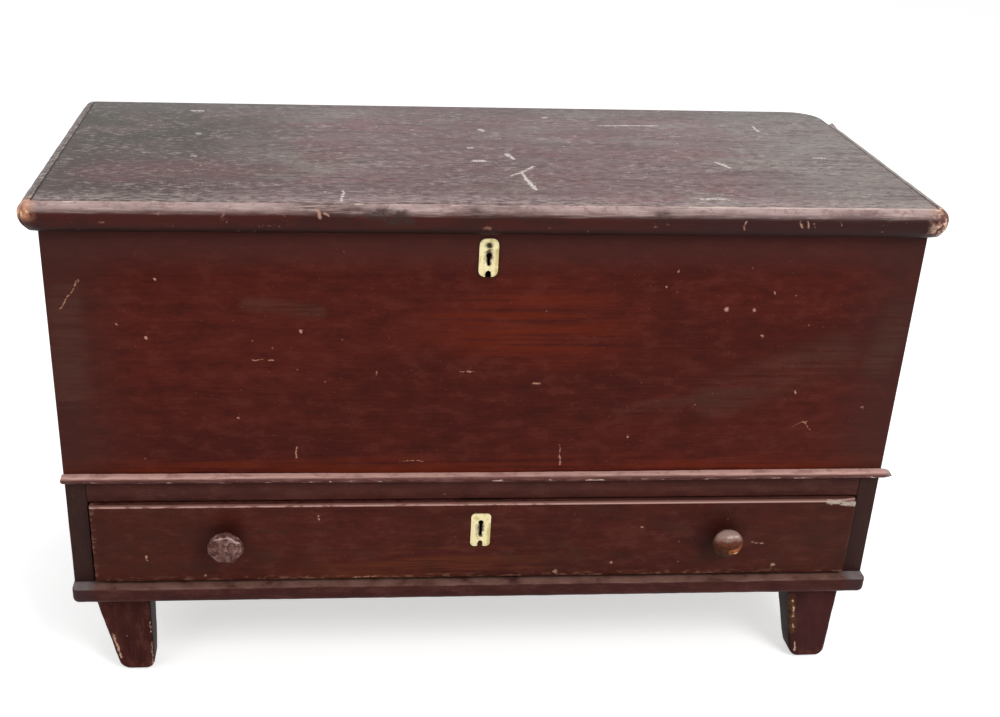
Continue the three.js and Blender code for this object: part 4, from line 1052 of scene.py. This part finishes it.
def knob_rings(face, back, rim_radius, face_radius, swell):
    """A knob's rings from its tenon's end to the edge of its face."""
    rim = face + swell
    seat = drawer_low.y - joint
    rings = [(knob_tenon, back), (knob_tenon, seat), (knob_foot, seat)]
    rings += [(knob_foot, seat - knob_foot_height), (knob_neck, seat - knob_neck_start)]
    turns = [math.radians(9 * step) for step in range(10, -1, -1)]
    for a in turns:
        rings.append((knob_neck + (rim_radius - knob_neck) * math.cos(a), rim + knob_cove * math.sin(a)))
    for a in turns[1:]:
        rings.append((face_radius + (rim_radius - face_radius) * math.sin(a), rim - swell * math.cos(a)))
    return rings


middle = knob_middles["left"]
pip_reach = 0.0008
face = middle.y + pip_reach
left_paint = Finish("left_knob_paint", (108, 74, 67), roughness=0.4, gloss=0.12)
mottle = left_paint.grain((0.0056, 0.0056, 0.0056), 71.0, detail=3.0)
left_paint.coat(mottle.fade(0.46, 0.55) * 0.85, (66, 36, 32))
bright = left_paint.grain((0.005, 0.005, 0.005), 73.0, detail=3.0)
left_paint.coat(bright.fade(0.52, 0.62) * 0.65, (152, 120, 112))
# Painted shade: the knob darkens behind its face, towards the drawer.
left_paint.coat(left_paint.deep.fade(face + 0.007, face + 0.012) * 0.85, (58, 30, 28))
# The painted highlight: strokes along the upper rim of the face, and a dot on the centre pip.
rim_highlight_marks = [  # X and Z from and to, off the knob's axis, and a width
    (-0.0176, 0.0095, -0.0103, 0.0168, 0.0012),
    (-0.0095, 0.0171, 0.0035, 0.0174, 0.0017),
    (0.0045, 0.0174, 0.0112, 0.0138, 0.002),
    (0.0112, 0.0138, 0.0183, 0.0086, 0.0022),
    (0.0, 0.001, 0.0004, 0.001, 0.0022),
]
x, z = middle.x, middle.z
rim_highlight_lines = [
    (x + from_x, z + from_z, x + to_x, z + to_z, width) for from_x, from_z, to_x, to_z, width in rim_highlight_marks
]
rim = left_paint.strokes(on_face(face + 0.001, rim_highlight_lines), whole=True)
# Painted shade towards the bottom of the knob and over the top of its swell behind the rim, then the painted
# highlight along the rim.
left_paint.coat(left_paint.high.fade(z + 0.004, z - 0.016) * 0.5, (62, 36, 32))
left_paint.coat(left_paint.high.fade(z + 0.0182, z + 0.02) * 0.75, (80, 48, 44))
left_paint.coat(rim * bright.fade(0.34, 0.5) * 0.85, (196, 172, 165))
left_paint.sheen(mottle, 0.35, 0.55)
left_paint.relief(mottle, 0.001)

rings = knob_rings(face, knob_boxes["left"][1].y, 0.0225, 0.02, 0.0055)
rings += [(0.012, face + 0.0003), (0.0026, face), (0.0016, face - pip_reach)]
left_knob = turned("knob_left_worn", middle, rings)
# the flats, each with its turn from the right in degrees and its reach from the axis
flats = {91: 0.018, 55: 0.0184, 4: 0.0205, -42: 0.0184, -93: 0.0166, -136: 0.0182, 184: 0.0205, 131: 0.02}
for turn, reach in flats.items():
    out = Vector((math.cos(math.radians(turn)), 0, math.sin(math.radians(turn))))
    cut_place = Vector((middle.x, face + 0.0015, middle.z)) + out * reach
    planed(left_knob, cut_place, out - Vector((0, 0.35, 0)))
worn(left_knob, 0.0007, 0.004)
settle(left_knob, "knob_left", left_paint, smooth=30)

middle = knob_middles["right"]
right_paint = Finish("right_knob_paint", (96, 54, 40), roughness=0.3, gloss=0.03)
mottle = right_paint.grain((0.009, 0.009, 0.007), 75.0, detail=4.0)
right_paint.coat(mottle.fade(0.46, 0.58), (70, 38, 26))
# Painted shade over the lower half of the dome, and a painted highlight over its upper part.
lower = right_paint.high.fade(middle.z, middle.z - 0.014)
right_paint.coat(lower * 0.85, (52, 32, 18))
wavy = right_paint.high + mottle * 0.02
upper = wavy.fade(middle.z + 0.013, middle.z + 0.023)
right_paint.coat(upper * 0.75, (162, 134, 124))
# A brighter painted highlight near the top of the dome.
lit = right_paint.strokes([((0.306, middle.y, 0.2165), (0.324, middle.y + 0.004, 0.2155), 0.0032)])
right_paint.coat(lit * 0.75, (214, 190, 178))
# Painted shade behind the rim, towards the drawer.
shade_behind_rim = right_paint.deep.fade(middle.y + 0.01, middle.y + 0.014)
right_paint.coat(shade_behind_rim * 0.9, (40, 21, 17))
thumb_line = (0.318, middle.y, 0.1925), (0.326, middle.y + 0.008, 0.199)
thumb = right_paint.strokes([(*thumb_line, 0.007)], whole=True)
right_paint.coat(thumb * mottle.fade(0.34, 0.48), (172, 100, 60))
spot_line = (0.3225, middle.y + 0.004, 0.1915), (0.325, middle.y + 0.006, 0.194)
right_paint.coat(right_paint.strokes([(*spot_line, 0.0024)]), (236, 196, 150))
right_paint.sheen(mottle, 0.25, 0.45)
right_paint.relief(mottle, 0.0006)

rings = knob_rings(middle.y, knob_boxes["right"][1].y, 0.0199, 0.0002, 0.009)
right_knob = turned("knob_right_worn", middle, rings)
worn(right_knob, 0.0007, 0.008)
settle(right_knob, "knob_right", right_paint, smooth=50)


# The studio: a plain pale floor under soft light from the upper right, seen from where the photograph
# was taken.
def seen_directly(tree):
    """1 for the rays that the camera sees, also in metal and through glass, and 0 for the light's own."""
    rays = tree.nodes.new("ShaderNodeLightPath")
    share = rays.outputs["Is Camera Ray"]
    for kind in ("Is Glossy Ray", "Is Transmission Ray"):
        most = tree.nodes.new("ShaderNodeMath")
        most.operation = "MAXIMUM"
        tree.links.new(share, most.inputs[0])
        tree.links.new(rays.outputs[kind], most.inputs[1])
        share = most.outputs[0]
    return share


def strength(tree, usual, direct):
    """One strength for the light and another for what is seen directly."""
    spread = tree.nodes.new("ShaderNodeMapRange")
    tree.links.new(seen_directly(tree), spread.inputs["Value"])
    spread.inputs["To Min"].default_value = usual
    spread.inputs["To Max"].default_value = direct
    return spread.outputs[0]


bpy.ops.object.select_all(action="DESELECT")
bpy.ops.mesh.primitive_plane_add(size=60, location=(0, 0, -0.0005))
floor = bpy.context.object
floor.name = "floor"
pale = Finish("pale_floor", (232, 232, 232), roughness=0.9, gloss=0.0)
pale.shader.inputs["Base Color"].default_value = tint(232, 232, 232)
pale.shader.inputs["Emission Color"].default_value = (1, 1, 1, 1)
pale.tree.links.new(strength(pale.tree, 0.0, 0.55), pale.shader.inputs["Emission Strength"])
floor.data.materials.append(pale.material)
floor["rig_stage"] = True

world = bpy.data.worlds.new("studio")
bpy.context.scene.world = world
world.use_nodes = True
backdrop = world.node_tree.nodes["Background"]
backdrop.inputs["Color"].default_value = (1, 1, 1, 1)
world.node_tree.links.new(strength(world.node_tree, 0.5, 1.0), backdrop.inputs["Strength"])


def lamp(name, place, width, power):
    """A soft square lamp that faces the chest's middle."""
    light = bpy.data.lights.new(name, "AREA")
    light.size = width
    light.energy = power
    holder = bpy.data.objects.new(name, light)
    bpy.context.scene.collection.objects.link(holder)
    holder.location = place
    aim = Vector((0, 0, 0.35)) - Vector(place)
    holder.rotation_euler = aim.to_track_quat("-Z", "Y").to_euler()


lamp("key", (1.5, -2.5, 3.0), 1.4, 66)
lamp("fill", (-2.6, -2.2, 1.8), 2.0, 22)
lamp("top", (0.3, 0.6, 3.4), 2.4, 36)

camera = bpy.data.cameras.new("camera")
camera.sensor_width = 36
camera.lens = 48.357
camera.shift_x = 0.05638
camera.shift_y = 0.05478
camera.clip_start = 0.05
camera.clip_end = 100
viewer = bpy.data.objects.new("camera", camera)
bpy.context.scene.collection.objects.link(viewer)
yaw, pitch, roll = 0.09251, 0.45848, 0.03739
ahead = Vector((math.sin(yaw) * math.cos(pitch), math.cos(yaw) * math.cos(pitch), -math.sin(pitch)))
level = Vector((math.cos(yaw), -math.sin(yaw), 0))
above = level.cross(ahead)
right = math.cos(roll) * level + math.sin(roll) * above
up = -math.sin(roll) * level + math.cos(roll) * above
turn = viewer.matrix_world.to_3x3()
for row in range(3):
    turn[row] = (right[row], up[row], -ahead[row])
viewer.matrix_world = turn.to_4x4()
viewer.location = (-0.185135, -1.650445, 1.08936)
bpy.context.scene.camera = viewer
bpy.context.scene.view_settings.view_transform = "Standard"

low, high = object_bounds()
